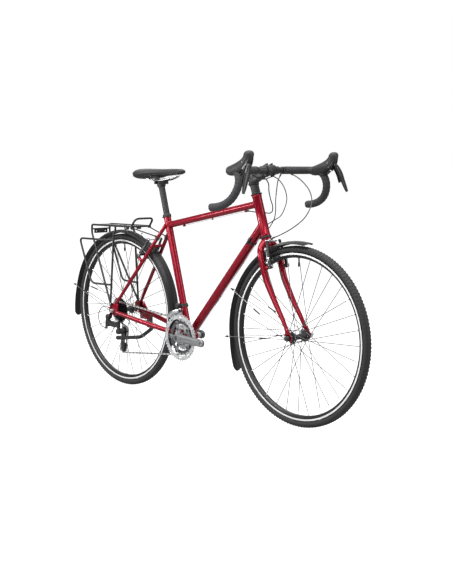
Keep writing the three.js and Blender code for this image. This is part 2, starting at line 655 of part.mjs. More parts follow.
// The gusset between the left stays that the kickstand is bolted to.
function kickstandPlate(side) {
  const inner = side * (REAR_HUB_WIDTH / 2 + GAP);
  const bottom = WHEEL_RADIUS - KICKSTAND_PIVOT_DROP / 2;
  return plate([
    [DROPOUT_RADIUS, bottom], [KICKSTAND_PIVOT_FORWARD + KICKSTAND_LEG_DIAMETER / 2, bottom],
    [KICKSTAND_PIVOT_FORWARD + KICKSTAND_LEG_DIAMETER / 2, WHEEL_RADIUS - CHAINSTAY_DIAMETER],
    [STAY_END_REACH + SEATSTAY_DIAMETER / 2, WHEEL_RADIUS + SEATSTAY_END_RISE],
    [DROPOUT_RADIUS, WHEEL_RADIUS + SEATSTAY_END_RISE],
  ], inner, inner + side * DROPOUT_THICKNESS);
}

function seatstayLine(side) {
  const low = at(SEATSTAY_END_FORWARD, side * STAY_END_SPREAD, WHEEL_RADIUS + SEATSTAY_END_RISE);
  const high = sideways(onSeat(SEAT_TUBE_LENGTH - SEATSTAY_TOP_DROP), side * SEATSTAY_TOP_SPREAD);
  return { low, high };
}

// Where a rim brake turns on the rear stays or the fork: the boss end, the way it points and the way up.
function brakeSeat(wheel, side) {
  if (wheel === 'front') {
    const reach = headBase.clone().sub(frontAxle).dot(headLine);
    const drop = reach - Math.sqrt(bossRadius ** 2 - FORK_OFFSET ** 2);
    return { root: sideways(onHead(-drop), side * BRAKE_ARM_OFFSET), out: headForward, up: headLine };
  }
  const { low, high } = seatstayLine(side);
  const up = at(high.x - low.x, 0, high.z - low.z).normalize();
  const out = at(-up.z, 0, up.x);
  const share = (bossRadius - SEATSTAY_END_RISE) / Math.hypot(high.x - low.x, high.z - low.z);
  return { root: sideways(low.clone().lerp(high, share), side * BRAKE_ARM_OFFSET), out, up };
}

function brakeBoss(wheel, side) {
  const { root, out } = brakeSeat(wheel, side);
  return rod(root, root.clone().addScaledVector(out, BOSS_STANDOFF), BOSS_DIAMETER / 2);
}

function rearStays() {
  const bracketSkin = rod(sideways(bracket, -BRACKET_WIDTH), sideways(bracket, BRACKET_WIDTH),
    BRACKET_DIAMETER / 2 + GAP);
  const seatSkin = rod(bracket, onSeat(SEAT_TUBE_LENGTH), SEAT_TUBE_DIAMETER / 2 + GAP);
  const topSkin = rod(onSeat(topTubeSeat), onHead(HEAD_TUBE_LENGTH - TOP_TUBE_DROP),
    TOP_TUBE_DIAMETER / 2 + GAP);
  for (const [name, side] of Object.entries(SIDES)) {
    const lowRear = at(STAY_END_REACH, side * STAY_END_SPREAD, WHEEL_RADIUS - CHAINSTAY_END_DIAMETER / 3);
    // The chainstay runs wide round the wheel and then in beside the chainrings.
    const chainstay = limb(CHAINSTAY_SHARES.map(([along, spread]) => {
      const size = CHAINSTAY_END_DIAMETER + (CHAINSTAY_DIAMETER - CHAINSTAY_END_DIAMETER) * along;
      const y = CHAINSTAY_FRONT_SPREAD + (STAY_END_SPREAD - CHAINSTAY_FRONT_SPREAD) * spread;
      return { place: sideways(lowRear.clone().lerp(bracket, along), side * y), wide: size, tall: size };
    }), AXLE_LINE, TUBE_SIDES);
    const extra = side > 0 ? kickstandPlate(side) : hanger(side);
    piece(`chainstay_${name}`,
      cut(join(chainstay, dropout(side, dropoutOutline()), extra), bracketSkin), PAINT);

    // The seatstay stands on the top edge of the dropout, cut level there.
    const { low, high } = seatstayLine(side);
    const past = low.clone().add(low.clone().sub(high).setLength(SEATSTAY_DIAMETER));
    const seatstay = rod(past, high, SEATSTAY_DIAMETER / 2);
    const edge = WHEEL_RADIUS + SEATSTAY_END_RISE + GAP;
    const below = block(at(low.x, low.y, edge - 2 * SEATSTAY_DIAMETER), 4 * SEATSTAY_DIAMETER,
      4 * SEATSTAY_DIAMETER, 4 * SEATSTAY_DIAMETER);
    const upper = [seatstay, brakeBoss('rear', side)];
    const skins = [below, seatSkin, topSkin];
    const bridgeHeight = BRIDGE_HEIGHT_SHARE;
    const bridgeEnd = low.clone().lerp(high, bridgeHeight);
    if (side < 0) {
      upper.push(rod(bridgeEnd, sideways(bridgeEnd, -bridgeEnd.y), BRIDGE_DIAMETER / 2));
      const other = seatstayLine(1);
      skins.push(rod(other.low, other.high, SEATSTAY_DIAMETER / 2 + GAP));
    }
    piece(`seatstay_${name}`, cut(join(...upper), ...skins), PAINT);
  }
}

function axles() {
  const skewer = (wheel, centre, width) => {
    const end = width / 2 + GAP + DROPOUT_THICKNESS;
    const head = (side) => rod(sideways(centre, side * (end + GAP)),
      sideways(centre, side * (end + GAP + SKEWER_HEAD_LENGTH)), SKEWER_HEAD_DIAMETER / 2);
    const axle = rod(sideways(centre, -end - OVERRUN), sideways(centre, end + OVERRUN), AXLE_DIAMETER / 2);
    piece(`${wheel}_axle_and_skewer`, join(axle, head(1), head(-1)), SILVER);
    // The lever lies back along the bicycle, outside the skewer's head.
    const y = end + 2 * GAP + SKEWER_HEAD_LENGTH;
    const middle = y + QUICK_LEVER_THICKNESS / 2;
    const pin = at(-Math.sin(QUICK_LEVER_ANGLE), 0, Math.cos(QUICK_LEVER_ANGLE)).multiplyScalar(QUICK_LEVER_WIDTH / 2);
    const hub = rod(sideways(centre, middle).sub(pin), sideways(centre, middle).add(pin), QUICK_LEVER_THICKNESS / 2);
    const tip = moved(centre, QUICK_LEVER_LENGTH * Math.cos(QUICK_LEVER_ANGLE), middle,
      QUICK_LEVER_LENGTH * Math.sin(QUICK_LEVER_ANGLE));
    const arm = limb([
      { place: moved(centre, 0, middle, 0), wide: QUICK_LEVER_THICKNESS,
        tall: QUICK_LEVER_WIDTH },
      { place: tip, wide: QUICK_LEVER_THICKNESS, tall: QUICK_LEVER_WIDTH },
    ], AXLE_LINE, ROD_SIDES);
    piece(`${wheel}_quick_release_lever`, join(hub, arm), SILVER);
  };
  skewer('rear', rearAxle, REAR_HUB_WIDTH);
  skewer('front', frontAxle, FRONT_HUB_WIDTH);
}

// A tyre, a rim and a hub with its laced spokes.
function wheel(name, centre, width, leftFlange, rightFlange) {
  const rimEdge = WHEEL_RADIUS - TYRE_HEIGHT;
  const tyreHalf = TYRE_WIDTH / 2;
  const tyreShares = [[0, 0.5], [0.25, 0.97], [0.65, 0.9], [1, 0.25]];
  const right = tyreShares.map(([height, half]) => [rimEdge + GAP + (TYRE_HEIGHT - GAP) * height, -tyreHalf * half]);
  const left = right.map(([radius, y]) => [radius, -y]).reverse();
  piece(`${name}_tyre`, turned([...right, ...left, right[0]], centre), RUBBER);

  const bed = rimEdge - RIM_DEPTH;
  const half = RIM_WIDTH / 2;
  const rimHalf = [[bed, half * 0.4], [rimEdge - RIM_DEPTH * 0.65, half * 0.95], [rimEdge, half]];
  const rimOther = rimHalf.map(([radius, y]) => [radius, -y]).reverse();
  piece(`${name}_rim`, turned([...rimHalf, ...rimOther, rimHalf[0]], centre), BLACK);

  const flange = HUB_FLANGE_DIAMETER / 2;
  const barrel = HUB_BARREL_DIAMETER / 2;
  const cap = HUB_CAP_DIAMETER / 2;
  const bore = AXLE_DIAMETER / 2 + RUNNING_GAP;
  const end = width / 2;
    // The rear hub ends at its right flange, where the freehub with the cogs begins.
  const rightEnd = name === 'rear' ? rightFlange + HUB_FLANGE_THICKNESS : end;
  const profile = [
    [bore, -rightEnd], [cap, -rightEnd], [cap, -rightFlange - HUB_FLANGE_THICKNESS], [flange, -rightFlange - HUB_FLANGE_THICKNESS / 2],
    [flange, -rightFlange + HUB_FLANGE_THICKNESS / 2], [barrel, -rightFlange + 2 * HUB_FLANGE_THICKNESS],
    [barrel, leftFlange - 2 * HUB_FLANGE_THICKNESS], [flange, leftFlange - HUB_FLANGE_THICKNESS / 2],
    [flange, leftFlange + HUB_FLANGE_THICKNESS / 2], [cap, leftFlange + HUB_FLANGE_THICKNESS],
    [cap, end], [bore, end], [bore, -rightEnd],
  ];
  const spokes = [];
  const hole = flange - HUB_FLANGE_THICKNESS;
  const seat = bed * Math.cos(Math.PI / WHEEL_STEPS) - GAP - SPOKE_DIAMETER / 4;
  const crossTurn = (SPOKE_CROSSINGS * 2 * Math.PI) / SPOKES_PER_SIDE;
  for (const [y, shift] of [[leftFlange, 0], [-rightFlange, 0.5]]) {
    for (let i = 0; i < SPOKES_PER_SIDE; i++) {
      const hubTurn = (2 * Math.PI * (i + shift)) / SPOKES_PER_SIDE;
      const rimTurn = hubTurn + (i % 2 ? crossTurn : -crossTurn);
      const head = i % 2 ? SPOKE_DIAMETER / 2 : -SPOKE_DIAMETER / 2;
      const start = moved(centre, hole * Math.cos(hubTurn), y + head, hole * Math.sin(hubTurn));
      const finish = moved(centre, seat * Math.cos(rimTurn), Math.sign(y) * SPOKE_DIAMETER,
        seat * Math.sin(rimTurn));
      spokes.push(rod(start, finish, SPOKE_DIAMETER / 2, SPOKE_DIAMETER / 2, SPOKE_SIDES));
    }
  }
  piece(`${name}_hub_and_spokes`, join(turned(profile, centre, TUBE_SIDES + CORD_SIDES / 2), ...spokes), SILVER);
}

const pitchRadius = (teeth) => CHAIN_PITCH / (2 * Math.sin(Math.PI / teeth));
const chainSeat = (teeth) => pitchRadius(teeth) - CHAIN_HEIGHT / 2 - 2 * GAP;

// The chain runs over a ring, a cog and the two pulleys, each turned round one way or the other.
function chainOutline(offset) {
  const wheels = [
    { x: bracket.x, z: bracket.z, teeth: RING_TEETH[1], way: 1 },
    { x: rearAxle.x, z: rearAxle.z, teeth: COG_TEETH[CHAIN_COG], way: 1 },
    { x: guidePulley.x, z: guidePulley.z, teeth: PULLEY_TEETH, way: -1 },
    { x: tensionPulley.x, z: tensionPulley.z, teeth: PULLEY_TEETH, way: 1 },
  ].map((spot) => ({ ...spot, radius: pitchRadius(spot.teeth) + spot.way * offset }));
  const runs = wheels.map((from, i) => {
    const to = wheels[(i + 1) % wheels.length];
    const [dx, dz] = [to.x - from.x, to.z - from.z];
    const step = to.way * to.radius - from.way * from.radius;
    return Math.atan2(dz, dx) - Math.atan2(step, Math.sqrt(dx * dx + dz * dz - step * step));
  });
  const outline = [];
  wheels.forEach((spot, i) => {
    const arrive = runs[(i + wheels.length - 1) % wheels.length];
    let turn = spot.way * (runs[i] - arrive);
    while (turn < 0) turn += 2 * Math.PI;
    const steps = Math.max(3, Math.round(turn * CHAIN_STEPS_PER_RADIAN));
    for (let k = 0; k <= steps; k++) {
      const angle = arrive + (spot.way * turn * k) / steps - (spot.way * Math.PI) / 2;
      outline.push([spot.x + spot.radius * Math.cos(angle), spot.z + spot.radius * Math.sin(angle)]);
    }
  });
  return outline;
}

const guidePulley = at(GUIDE_PULLEY_FORWARD, -CHAIN_LINE, WHEEL_RADIUS - GUIDE_PULLEY_DROP);
const tensionPulley = at(TENSION_PULLEY_FORWARD, -CHAIN_LINE, WHEEL_RADIUS - TENSION_PULLEY_DROP);

function drivetrain() {
  piece('chain', plate(chainOutline(CHAIN_HEIGHT / 2), -CHAIN_LINE - CHAIN_WIDTH / 2,
    -CHAIN_LINE + CHAIN_WIDTH / 2, chainOutline(-CHAIN_HEIGHT / 2)), GREY);

  // The cogs and the spacers between them turn with the freehub as one cone of steps, the smallest outermost.
  const freehub = FREEHUB_DIAMETER / 2;
  const bore = AXLE_DIAMETER / 2 + RUNNING_GAP;
  const steps = COG_TEETH.flatMap((teeth, i) => {
    const y = -CHAIN_LINE + (i - CHAIN_COG) * COG_SPACING - COG_THICKNESS / 2;
    const radius = Math.max(chainSeat(teeth), freehub + COG_THICKNESS);
    return [[radius, y], [radius, y + (i < COG_TEETH.length - 1 ? COG_SPACING : COG_THICKNESS)]];
  });
  const outerEnd = -REAR_HUB_WIDTH / 2;
  const innerEnd = -REAR_FLANGE_RIGHT - HUB_FLANGE_THICKNESS - RUNNING_GAP;
  piece('cassette', turned([[bore, outerEnd], [HUB_CAP_DIAMETER / 2, outerEnd], [HUB_CAP_DIAMETER / 2, steps[0][1]],
    ...steps, [freehub, steps.at(-1)[1]], [freehub, innerEnd], [bore, innerEnd], [bore, outerEnd]],
  at(rearAxle.x, 0, rearAxle.z), 2 * TUBE_SIDES), BLACK);

  // The right crank carries the axle, a five-armed spider and the three rings.
  const outerRing = CHAIN_LINE + RING_SPACING;
  const spiderFrom = -outerRing;
  const spiderTo = -outerRing - RING_THICKNESS * 2;
  const parts = [];
  RING_TEETH.forEach((teeth, i) => {
    const y = -outerRing + (RING_TEETH.length - 1 - i) * RING_SPACING;
    const outer = i === RING_TEETH.length - 1 ? pitchRadius(teeth) : chainSeat(teeth);
    const inner = outer * RING_INNER_SHARES[i];
    const half = RING_THICKNESS / 2;
    parts.push(turned([[inner, y - half], [outer, y - half], [outer, y + half], [inner, y + half],
      [inner, y - half]], at(bracket.x, 0, bracket.z), RING_STEPS));
  });
  const smallBolt = chainSeat(RING_TEETH[0]) * 0.75;
  for (let i = 0; i < SPIDER_ARMS; i++) {
    const turn = (2 * Math.PI * (i + 0.5)) / SPIDER_ARMS;
    const far = moved(bracket, SPIDER_REACH * Math.cos(turn), 0, SPIDER_REACH * Math.sin(turn));
    const near = moved(bracket, smallBolt * Math.cos(turn), 0, smallBolt * Math.sin(turn));
    const arm = new THREE.BoxGeometry(SPIDER_REACH + SPIDER_ARM_WIDTH / 2, Math.abs(spiderTo - spiderFrom),
      SPIDER_ARM_WIDTH);
    arm.translate((SPIDER_REACH + SPIDER_ARM_WIDTH / 2) / 2, 0, 0);
    arm.rotateY(-turn);
    arm.translate(bracket.x, (spiderFrom + spiderTo) / 2, bracket.z);
    parts.push(solid(arm));
    parts.push(rod(sideways(far, spiderTo), sideways(far, -CHAIN_LINE + RING_THICKNESS / 2),
      SPIDER_ARM_WIDTH / 3, SPIDER_ARM_WIDTH / 3, ROD_SIDES));
    parts.push(rod(sideways(near, spiderTo), sideways(near, -CHAIN_LINE + RING_SPACING),
      SPIDER_ARM_WIDTH / 3, SPIDER_ARM_WIDTH / 3, ROD_SIDES));
  }
  const crankArm = (side, way) => {
    const root = moved(bracket, 0, side * (CRANK_ROOT_OFFSET + CRANK_THICKNESS / 2), 0);
    const tip = moved(bracket, way * (CRANK_LENGTH + CRANK_TIP_WIDTH / 2), side * CRANK_TIP_OFFSET, 0);
    const middle = root.clone().lerp(tip, 0.35);
    const arm = limb([
      { place: root, wide: CRANK_THICKNESS, tall: CRANK_ROOT_WIDTH },
      { place: middle, wide: CRANK_THICKNESS, tall: CRANK_TIP_WIDTH },
      { place: tip, wide: CRANK_THICKNESS, tall: CRANK_TIP_WIDTH * 0.8 },
    ], AXLE_LINE, TUBE_SIDES);
    const boss = rod(sideways(root, side * CRANK_ROOT_OFFSET),
      sideways(root, side * (CRANK_ROOT_OFFSET + CRANK_THICKNESS)), CRANK_ROOT_WIDTH / 2);
    const eye = moved(bracket, way * CRANK_LENGTH, 0, 0);
    const eyeRound = rod(sideways(eye, side * (CRANK_TIP_OFFSET - CRANK_THICKNESS / 2)),
      sideways(eye, side * (CRANK_TIP_OFFSET + CRANK_THICKNESS / 2)), CRANK_TIP_WIDTH / 2);
    const hole = rod(sideways(eye, side * (CRANK_TIP_OFFSET - CRANK_THICKNESS)),
      sideways(eye, side * (CRANK_TIP_OFFSET + CRANK_THICKNESS)), PEDAL_HOLE_DIAMETER / 2);
    return cut(join(arm, boss, eyeRound), hole);
  };
  const axle = rod(sideways(bracket, -CRANK_ROOT_OFFSET), sideways(bracket, CRANK_ROOT_OFFSET - GAP),
    CRANK_AXLE_DIAMETER / 2);
  const hubOfSpider = rod(sideways(bracket, spiderFrom), sideways(bracket, -CRANK_ROOT_OFFSET),
    CRANK_ROOT_WIDTH / 2);
  piece('crankset_right', join(crankArm(-1, 1), axle, hubOfSpider, ...parts), GREY);
  piece('crank_left', crankArm(1, -1), GREY);
}

function frontDerailleur() {
  const centre = onSeat(SHIFTER_BAND_HEIGHT);
  const band = rod(onSeat(SHIFTER_BAND_HEIGHT - SHIFTER_BAND_WIDTH / 2),
    onSeat(SHIFTER_BAND_HEIGHT + SHIFTER_BAND_WIDTH / 2), SEAT_TUBE_DIAMETER / 2 + SHIFTER_BAND_THICKNESS);
  const tubeSkin = rod(onSeat(SHIFTER_BAND_HEIGHT - 2 * SHIFTER_BAND_WIDTH),
    onSeat(SHIFTER_BAND_HEIGHT + 2 * SHIFTER_BAND_WIDTH), SEAT_TUBE_DIAMETER / 2 + GAP);
  const bodyOffset = SEAT_TUBE_DIAMETER / 2 + SHIFTER_BODY_SIZE / 2;
  const body = block(moved(centre, -SHIFTER_BODY_SIZE / 3, -bodyOffset, 0), SHIFTER_BODY_SIZE,
    SHIFTER_BODY_SIZE, SHIFTER_BODY_SIZE, SEAT_ANGLE - Math.PI / 2);
  piece('front_derailleur_clamp', cut(join(band, body), tubeSkin), BLACK);

  // Two curved plates hold the chain between them, joined over the top and hung on a short arm.
  const arc = (inner, outer, from, to) => {
    const points = [];
    const steps = 5;
    for (let k = 0; k <= steps; k++) points.push([outer, from + ((to - from) * k) / steps]);
    for (let k = steps; k >= 0; k--) points.push([inner, from + ((to - from) * k) / steps]);
    return points.map(([radius, angle]) => [
      bracket.x + radius * Math.cos(angle), bracket.z + radius * Math.sin(angle)]);
  };
  const outerRadius = SHIFTER_CAGE_RADIUS + SHIFTER_CAGE_DEPTH;
  const innerPlate = -CHAIN_LINE + SHIFTER_CAGE_WIDTH / 3;
  const outerPlate = innerPlate - SHIFTER_CAGE_WIDTH;
  const [from, to] = SHIFTER_CAGE_ANGLES;
  const plates = join(
    plate(arc(SHIFTER_CAGE_RADIUS, outerRadius, from, to), outerPlate, outerPlate - SHIFTER_CAGE_PLATE),
    plate(arc(SHIFTER_CAGE_RADIUS - SHIFTER_CAGE_DEPTH, outerRadius, from, to), innerPlate,
      innerPlate + SHIFTER_CAGE_PLATE),
    plate(arc(outerRadius - SHIFTER_CAGE_PLATE, outerRadius, from, (from + to) / 2), outerPlate, innerPlate),
  );
  const hang = onSeat(SHIFTER_BAND_HEIGHT);
  const armTop = hang.z - SHIFTER_BODY_SIZE / 2 - SHIFTER_CAGE_PLATE - GAP;
  const armFoot = bracket.z + SHIFTER_CAGE_RADIUS;
  const arm = block(at(hang.x - SHIFTER_BODY_SIZE / 3, innerPlate + SHIFTER_CAGE_PLATE / 2,
    (armTop + armFoot) / 2), SHIFTER_BODY_SIZE / 2, SHIFTER_CAGE_PLATE, armTop - armFoot);
  piece('front_derailleur_cage', join(plates, arm), SILVER);
}

function rearDerailleur() {
  const outer = -(REAR_HUB_WIDTH / 2 + 2 * GAP + DROPOUT_THICKNESS);
  const hole = moved(rearAxle, -HANGER_SETBACK - DROPOUT_RADIUS / 2, 0, -HANGER_DROP);
  const linkY = -KNUCKLE_OFFSET;
  const topPivot = at(hole.x, linkY, hole.z - KNUCKLE_DIAMETER / 2);
  const lowPivot = at(topPivot.x + LINK_LENGTH, linkY, topPivot.z);
  const linkTop = hole.z - KNUCKLE_DIAMETER / 2 - GAP;
  const linkFoot = linkTop - LINK_HEIGHT;
  const mount = rod(sideways(hole, outer), sideways(hole, linkY - LINK_THICKNESS), KNUCKLE_DIAMETER / 2);
  // A rod behind the link leads down to the barrel that the housing ends in.
  const cord = cordEnd(rearAxle, REAR_GEAR_LOOP_SHARES);
  const behind = rod(moved(hole, -KNUCKLE_DIAMETER / 2, linkY, 0), moved(cord, LINK_THICKNESS / 2, 0, 0),
    BARREL_DIAMETER / 2, BARREL_DIAMETER / 2, ROD_SIDES);
  const barrel = rod(moved(cord, GAP, 0, 0), moved(cord, LINK_THICKNESS * 0.8, 0, 0), BARREL_DIAMETER * 0.6,
    BARREL_DIAMETER * 0.6, ROD_SIDES);
  piece('rear_derailleur_mount', join(mount, behind, barrel), BLACK);

  const link = join(
    block(at((topPivot.x + lowPivot.x) / 2, linkY, (linkTop + linkFoot) / 2), LINK_LENGTH, LINK_THICKNESS,
      LINK_HEIGHT),
    rod(at(topPivot.x, linkY, linkFoot), at(topPivot.x, linkY, linkTop), LINK_THICKNESS * 0.7),
    rod(at(lowPivot.x, linkY, linkFoot), at(lowPivot.x, linkY, linkTop), LINK_THICKNESS * 0.7),
  );
  piece('rear_derailleur_link', link, BLACK);

  const cageOuter = -CHAIN_LINE - CAGE_PLATE_OFFSET - CAGE_PLATE_THICKNESS;
  const post = rod(sideways(guidePulley, cageOuter - GAP), sideways(guidePulley, linkY - LINK_THICKNESS / 2),
    KNUCKLE_DIAMETER / 2);
  const lug = rod(at(lowPivot.x, linkY, guidePulley.z), at(lowPivot.x, linkY, linkFoot - GAP),
    LINK_THICKNESS * 0.7);
  piece('rear_derailleur_knuckle', join(post, lug), BLACK);

  const side = (y) => join(
    plate([
      [guidePulley.x - CAGE_PLATE_WIDTH / 2, guidePulley.z],
      [guidePulley.x + CAGE_PLATE_WIDTH / 2, guidePulley.z],
      [tensionPulley.x + CAGE_PLATE_WIDTH / 2, tensionPulley.z],
      [tensionPulley.x - CAGE_PLATE_WIDTH / 2, tensionPulley.z]], y, y + CAGE_PLATE_THICKNESS),
    rod(sideways(guidePulley, y), sideways(guidePulley, y + CAGE_PLATE_THICKNESS), CAGE_PLATE_WIDTH / 2),
    rod(sideways(tensionPulley, y), sideways(tensionPulley, y + CAGE_PLATE_THICKNESS), CAGE_PLATE_WIDTH / 2),
  );
  const cageInner = -CHAIN_LINE + CAGE_PLATE_OFFSET;
  const bolts = [guidePulley, tensionPulley].map((centre) => rod(sideways(centre, cageOuter),
    sideways(centre, cageInner + CAGE_PLATE_THICKNESS), PULLEY_BOLT_DIAMETER / 2));
  piece('rear_derailleur_cage', join(side(cageOuter), side(cageInner), ...bolts), BLACK);
  const pulley = (name, centre) => {
    const bore = PULLEY_BOLT_DIAMETER / 2 + RUNNING_GAP;
    const half = PULLEY_THICKNESS / 2;
    const rim = chainSeat(PULLEY_TEETH);
    piece(name, turned([[bore, -half], [rim, -half], [rim, half], [bore, half], [bore, -half]], centre,
      TUBE_SIDES), BLACK);
  };
  pulley('guide_pulley', guidePulley);
  pulley('tension_pulley', tensionPulley);
}

function forkAndHeadset() {
  const steerer = STEERER_DIAMETER / 2;
  const ring = (from, to) => cut(rod(onHead(from), onHead(to), HEADSET_DIAMETER / 2),
    rod(onHead(from - OVERRUN), onHead(to + OVERRUN), turnable(steerer)));
  piece('headset_lower', ring(-GAP - HEADSET_HEIGHT, -GAP), BLACK);
  const coverFoot = HEAD_TUBE_LENGTH + GAP;
  const coverTop = coverFoot + HEADSET_HEIGHT;
  const spacers = cut(rod(onHead(coverTop - OVERRUN), onHead(coverTop + SPACER_HEIGHT), SPACER_DIAMETER / 2),
    rod(onHead(coverFoot), onHead(coverTop + SPACER_HEIGHT + OVERRUN), steerer + GAP));
  piece('headset_cover_and_spacers', join(ring(coverFoot, coverTop), spacers), BLACK);

  const crownTop = -HEADSET_HEIGHT - 2 * GAP;
  const stemFoot = coverTop + SPACER_HEIGHT + GAP;
  const parts = [
    rod(onHead(crownTop - OVERRUN), onHead(stemFoot + STEM_CLAMP_HEIGHT - OVERRUN), steerer),
    rod(onHead(crownTop - CROWN_DROP), onHead(crownTop), CROWN_DIAMETER / 2 - OVERRUN, CROWN_DIAMETER / 2),
  ];
  const reach = headBase.clone().sub(frontAxle).dot(headLine);
  for (const side of Object.values(SIDES)) {
    // Each blade leaves the crown sideways, runs down beside the wheel and sweeps forward to the axle.
    const stations = BLADE_SHARES.map(([down, spread, forward, wide, tall]) => ({
      place: onHead(-reach * down).add(headForward.clone().multiplyScalar(FORK_OFFSET * forward))
        .add(at(0, side * BLADE_SPREAD * spread, 0)),
      wide: BLADE_TOP_DIAMETER * wide,
      tall: BLADE_TOP_DIAMETER * tall,
    }));
    parts.push(limb(stations, AXLE_LINE, CORD_SIDES));
    const inner = side * (FRONT_HUB_WIDTH / 2 + GAP);
    const outer = inner + side * DROPOUT_THICKNESS;
    const radius = DROPOUT_RADIUS * 0.75;
    const end = stations.at(-1).place;
    const eye = rod(sideways(frontAxle, inner), sideways(frontAxle, outer), radius);
    const web = plate([
      [end.x - BLADE_END_DIAMETER / 2, end.z + BLADE_END_DIAMETER / 2],
      [frontAxle.x - radius, frontAxle.z - radius / 2], [frontAxle.x, frontAxle.z - radius / 2],
      [frontAxle.x + radius, frontAxle.z], [end.x + BLADE_END_DIAMETER / 2, end.z + BLADE_END_DIAMETER / 2],
    ], inner, outer);
    parts.push(eye, web, brakeBoss('front', side));
  }
  const slots = join(
    rod(sideways(frontAxle, -FRONT_HUB_WIDTH), sideways(frontAxle, FRONT_HUB_WIDTH),
      AXLE_DIAMETER / 2 + RUNNING_GAP),
    block(moved(frontAxle, 0, 0, -DROPOUT_RADIUS), AXLE_DIAMETER + 2 * RUNNING_GAP, 2 * FRONT_HUB_WIDTH,
      2 * DROPOUT_RADIUS),
  );
  piece('fork', cut(join(...parts), slots), PAINT);
}

const stemFootHeight = HEAD_TUBE_LENGTH + HEADSET_HEIGHT + SPACER_HEIGHT + 2 * GAP;
const stemRoot = onHead(stemFootHeight + STEM_CLAMP_HEIGHT / 2);
const stemWay = at(Math.cos(Math.PI / 2 - HEAD_ANGLE + STEM_RISE_ANGLE), 0,
  Math.sin(Math.PI / 2 - HEAD_ANGLE + STEM_RISE_ANGLE));
const barCentre = stemRoot.clone().addScaledVector(stemWay, STEM_LENGTH);

// Half of the handlebar as a list of places, from its middle to the end of the drop.
function barPlaces(side) {
  const hook = BAR_SHARES.map(([forward, out, down, flare]) => moved(barCentre, BAR_REACH * forward,
    side * (BAR_HALF_WIDTH * out + BAR_FLARE * flare), -BAR_DROP * down));
  return [moved(barCentre, 0, side * TAPE_START, 0), ...hook];
}

function stemAndBar() {
  const clampRadius = STEERER_DIAMETER / 2 + STEM_WALL;
  const foot = onHead(stemFootHeight);
  const head = onHead(stemFootHeight + STEM_CLAMP_HEIGHT);
  const steererClamp = rod(foot, head, clampRadius);
  const cap = rod(head, onHead(stemFootHeight + STEM_CLAMP_HEIGHT + STEM_WALL), clampRadius - OVERRUN / 2);
  const body = limb([
    { place: stemRoot, wide: STEM_BODY_WIDTH, tall: STEM_BODY_HEIGHT },
    { place: barCentre, wide: STEM_BODY_WIDTH, tall: STEM_BODY_HEIGHT },
  ], AXLE_LINE, CORD_SIDES);
  const barClamp = rod(sideways(barCentre, -STEM_CLAMP_WIDTH / 2), sideways(barCentre, STEM_CLAMP_WIDTH / 2),
    BAR_CLAMP_DIAMETER / 2 + STEM_WALL);
  const steererSkin = rod(onHead(stemFootHeight - OVERRUN), onHead(stemFootHeight + STEM_CLAMP_HEIGHT - GAP),
    STEERER_DIAMETER / 2 + GAP);
  const barSkin = rod(sideways(barCentre, -STEM_CLAMP_WIDTH), sideways(barCentre, STEM_CLAMP_WIDTH),
    BAR_CLAMP_DIAMETER / 2 + GAP);
  piece('stem', cut(join(steererClamp, cap, body, barClamp), steererSkin, barSkin), BLACK);

  const bulge = rod(sideways(barCentre, -BAR_BULGE_HALF), sideways(barCentre, BAR_BULGE_HALF),
    BAR_CLAMP_DIAMETER / 2);
  const halves = Object.values(SIDES).map((side) => {
    const places = barPlaces(side);
    return tube([moved(barCentre, 0, side * BAR_BULGE_HALF / 2, 0), ...places], BAR_DIAMETER / 2, CORD_SIDES);
  });
  piece('handlebar', join(bulge, ...halves), BLACK);

  for (const [name, side] of Object.entries(SIDES)) {
    const places = barPlaces(side);
    const section = polygon(BAR_DIAMETER / 2 + GAP + TAPE_THICKNESS, CORD_SIDES);
    section.holes.push(new THREE.Path(polygon(BAR_DIAMETER / 2 + GAP, CORD_SIDES).getPoints()));
    const hood = hoodBody(side);
    const sleeve = along(places, section);
    piece(`bar_tape_${name}`, sleeve, RUBBER);
    piece(`brake_hood_${name}`, cut(hood, tube(places, BAR_DIAMETER / 2 + 3 * GAP + TAPE_THICKNESS,
      CORD_SIDES), leverNotch(side)), RUBBER);
    piece(`brake_lever_${name}`, leverBlade(side), BLACK);
  }
}

const hoodRoot = (side) => moved(barCentre, BAR_REACH * HOOD_ROOT_SHARES.reach,
  side * (BAR_HALF_WIDTH + BAR_FLARE * HOOD_ROOT_SHARES.flare), -BAR_DROP * HOOD_ROOT_SHARES.drop);
const leverPivot = (side) => moved(hoodRoot(side), HOOD_LENGTH * LEVER_PIVOT_SHARES.forward, side * OVERRUN,
  HOOD_RISE * LEVER_PIVOT_SHARES.rise);

function hoodBody(side) {
  const root = hoodRoot(side);
  const stations = HOOD_SHARES.map(([forward, rise, wide, tall]) => ({
    place: moved(root, HOOD_LENGTH * forward, side * OVERRUN * forward, HOOD_RISE * rise),
    wide: HOOD_WIDTH * wide,
    tall: HOOD_HEIGHT * tall,
  }));
  return limb(stations, AXLE_LINE, TUBE_SIDES);
}

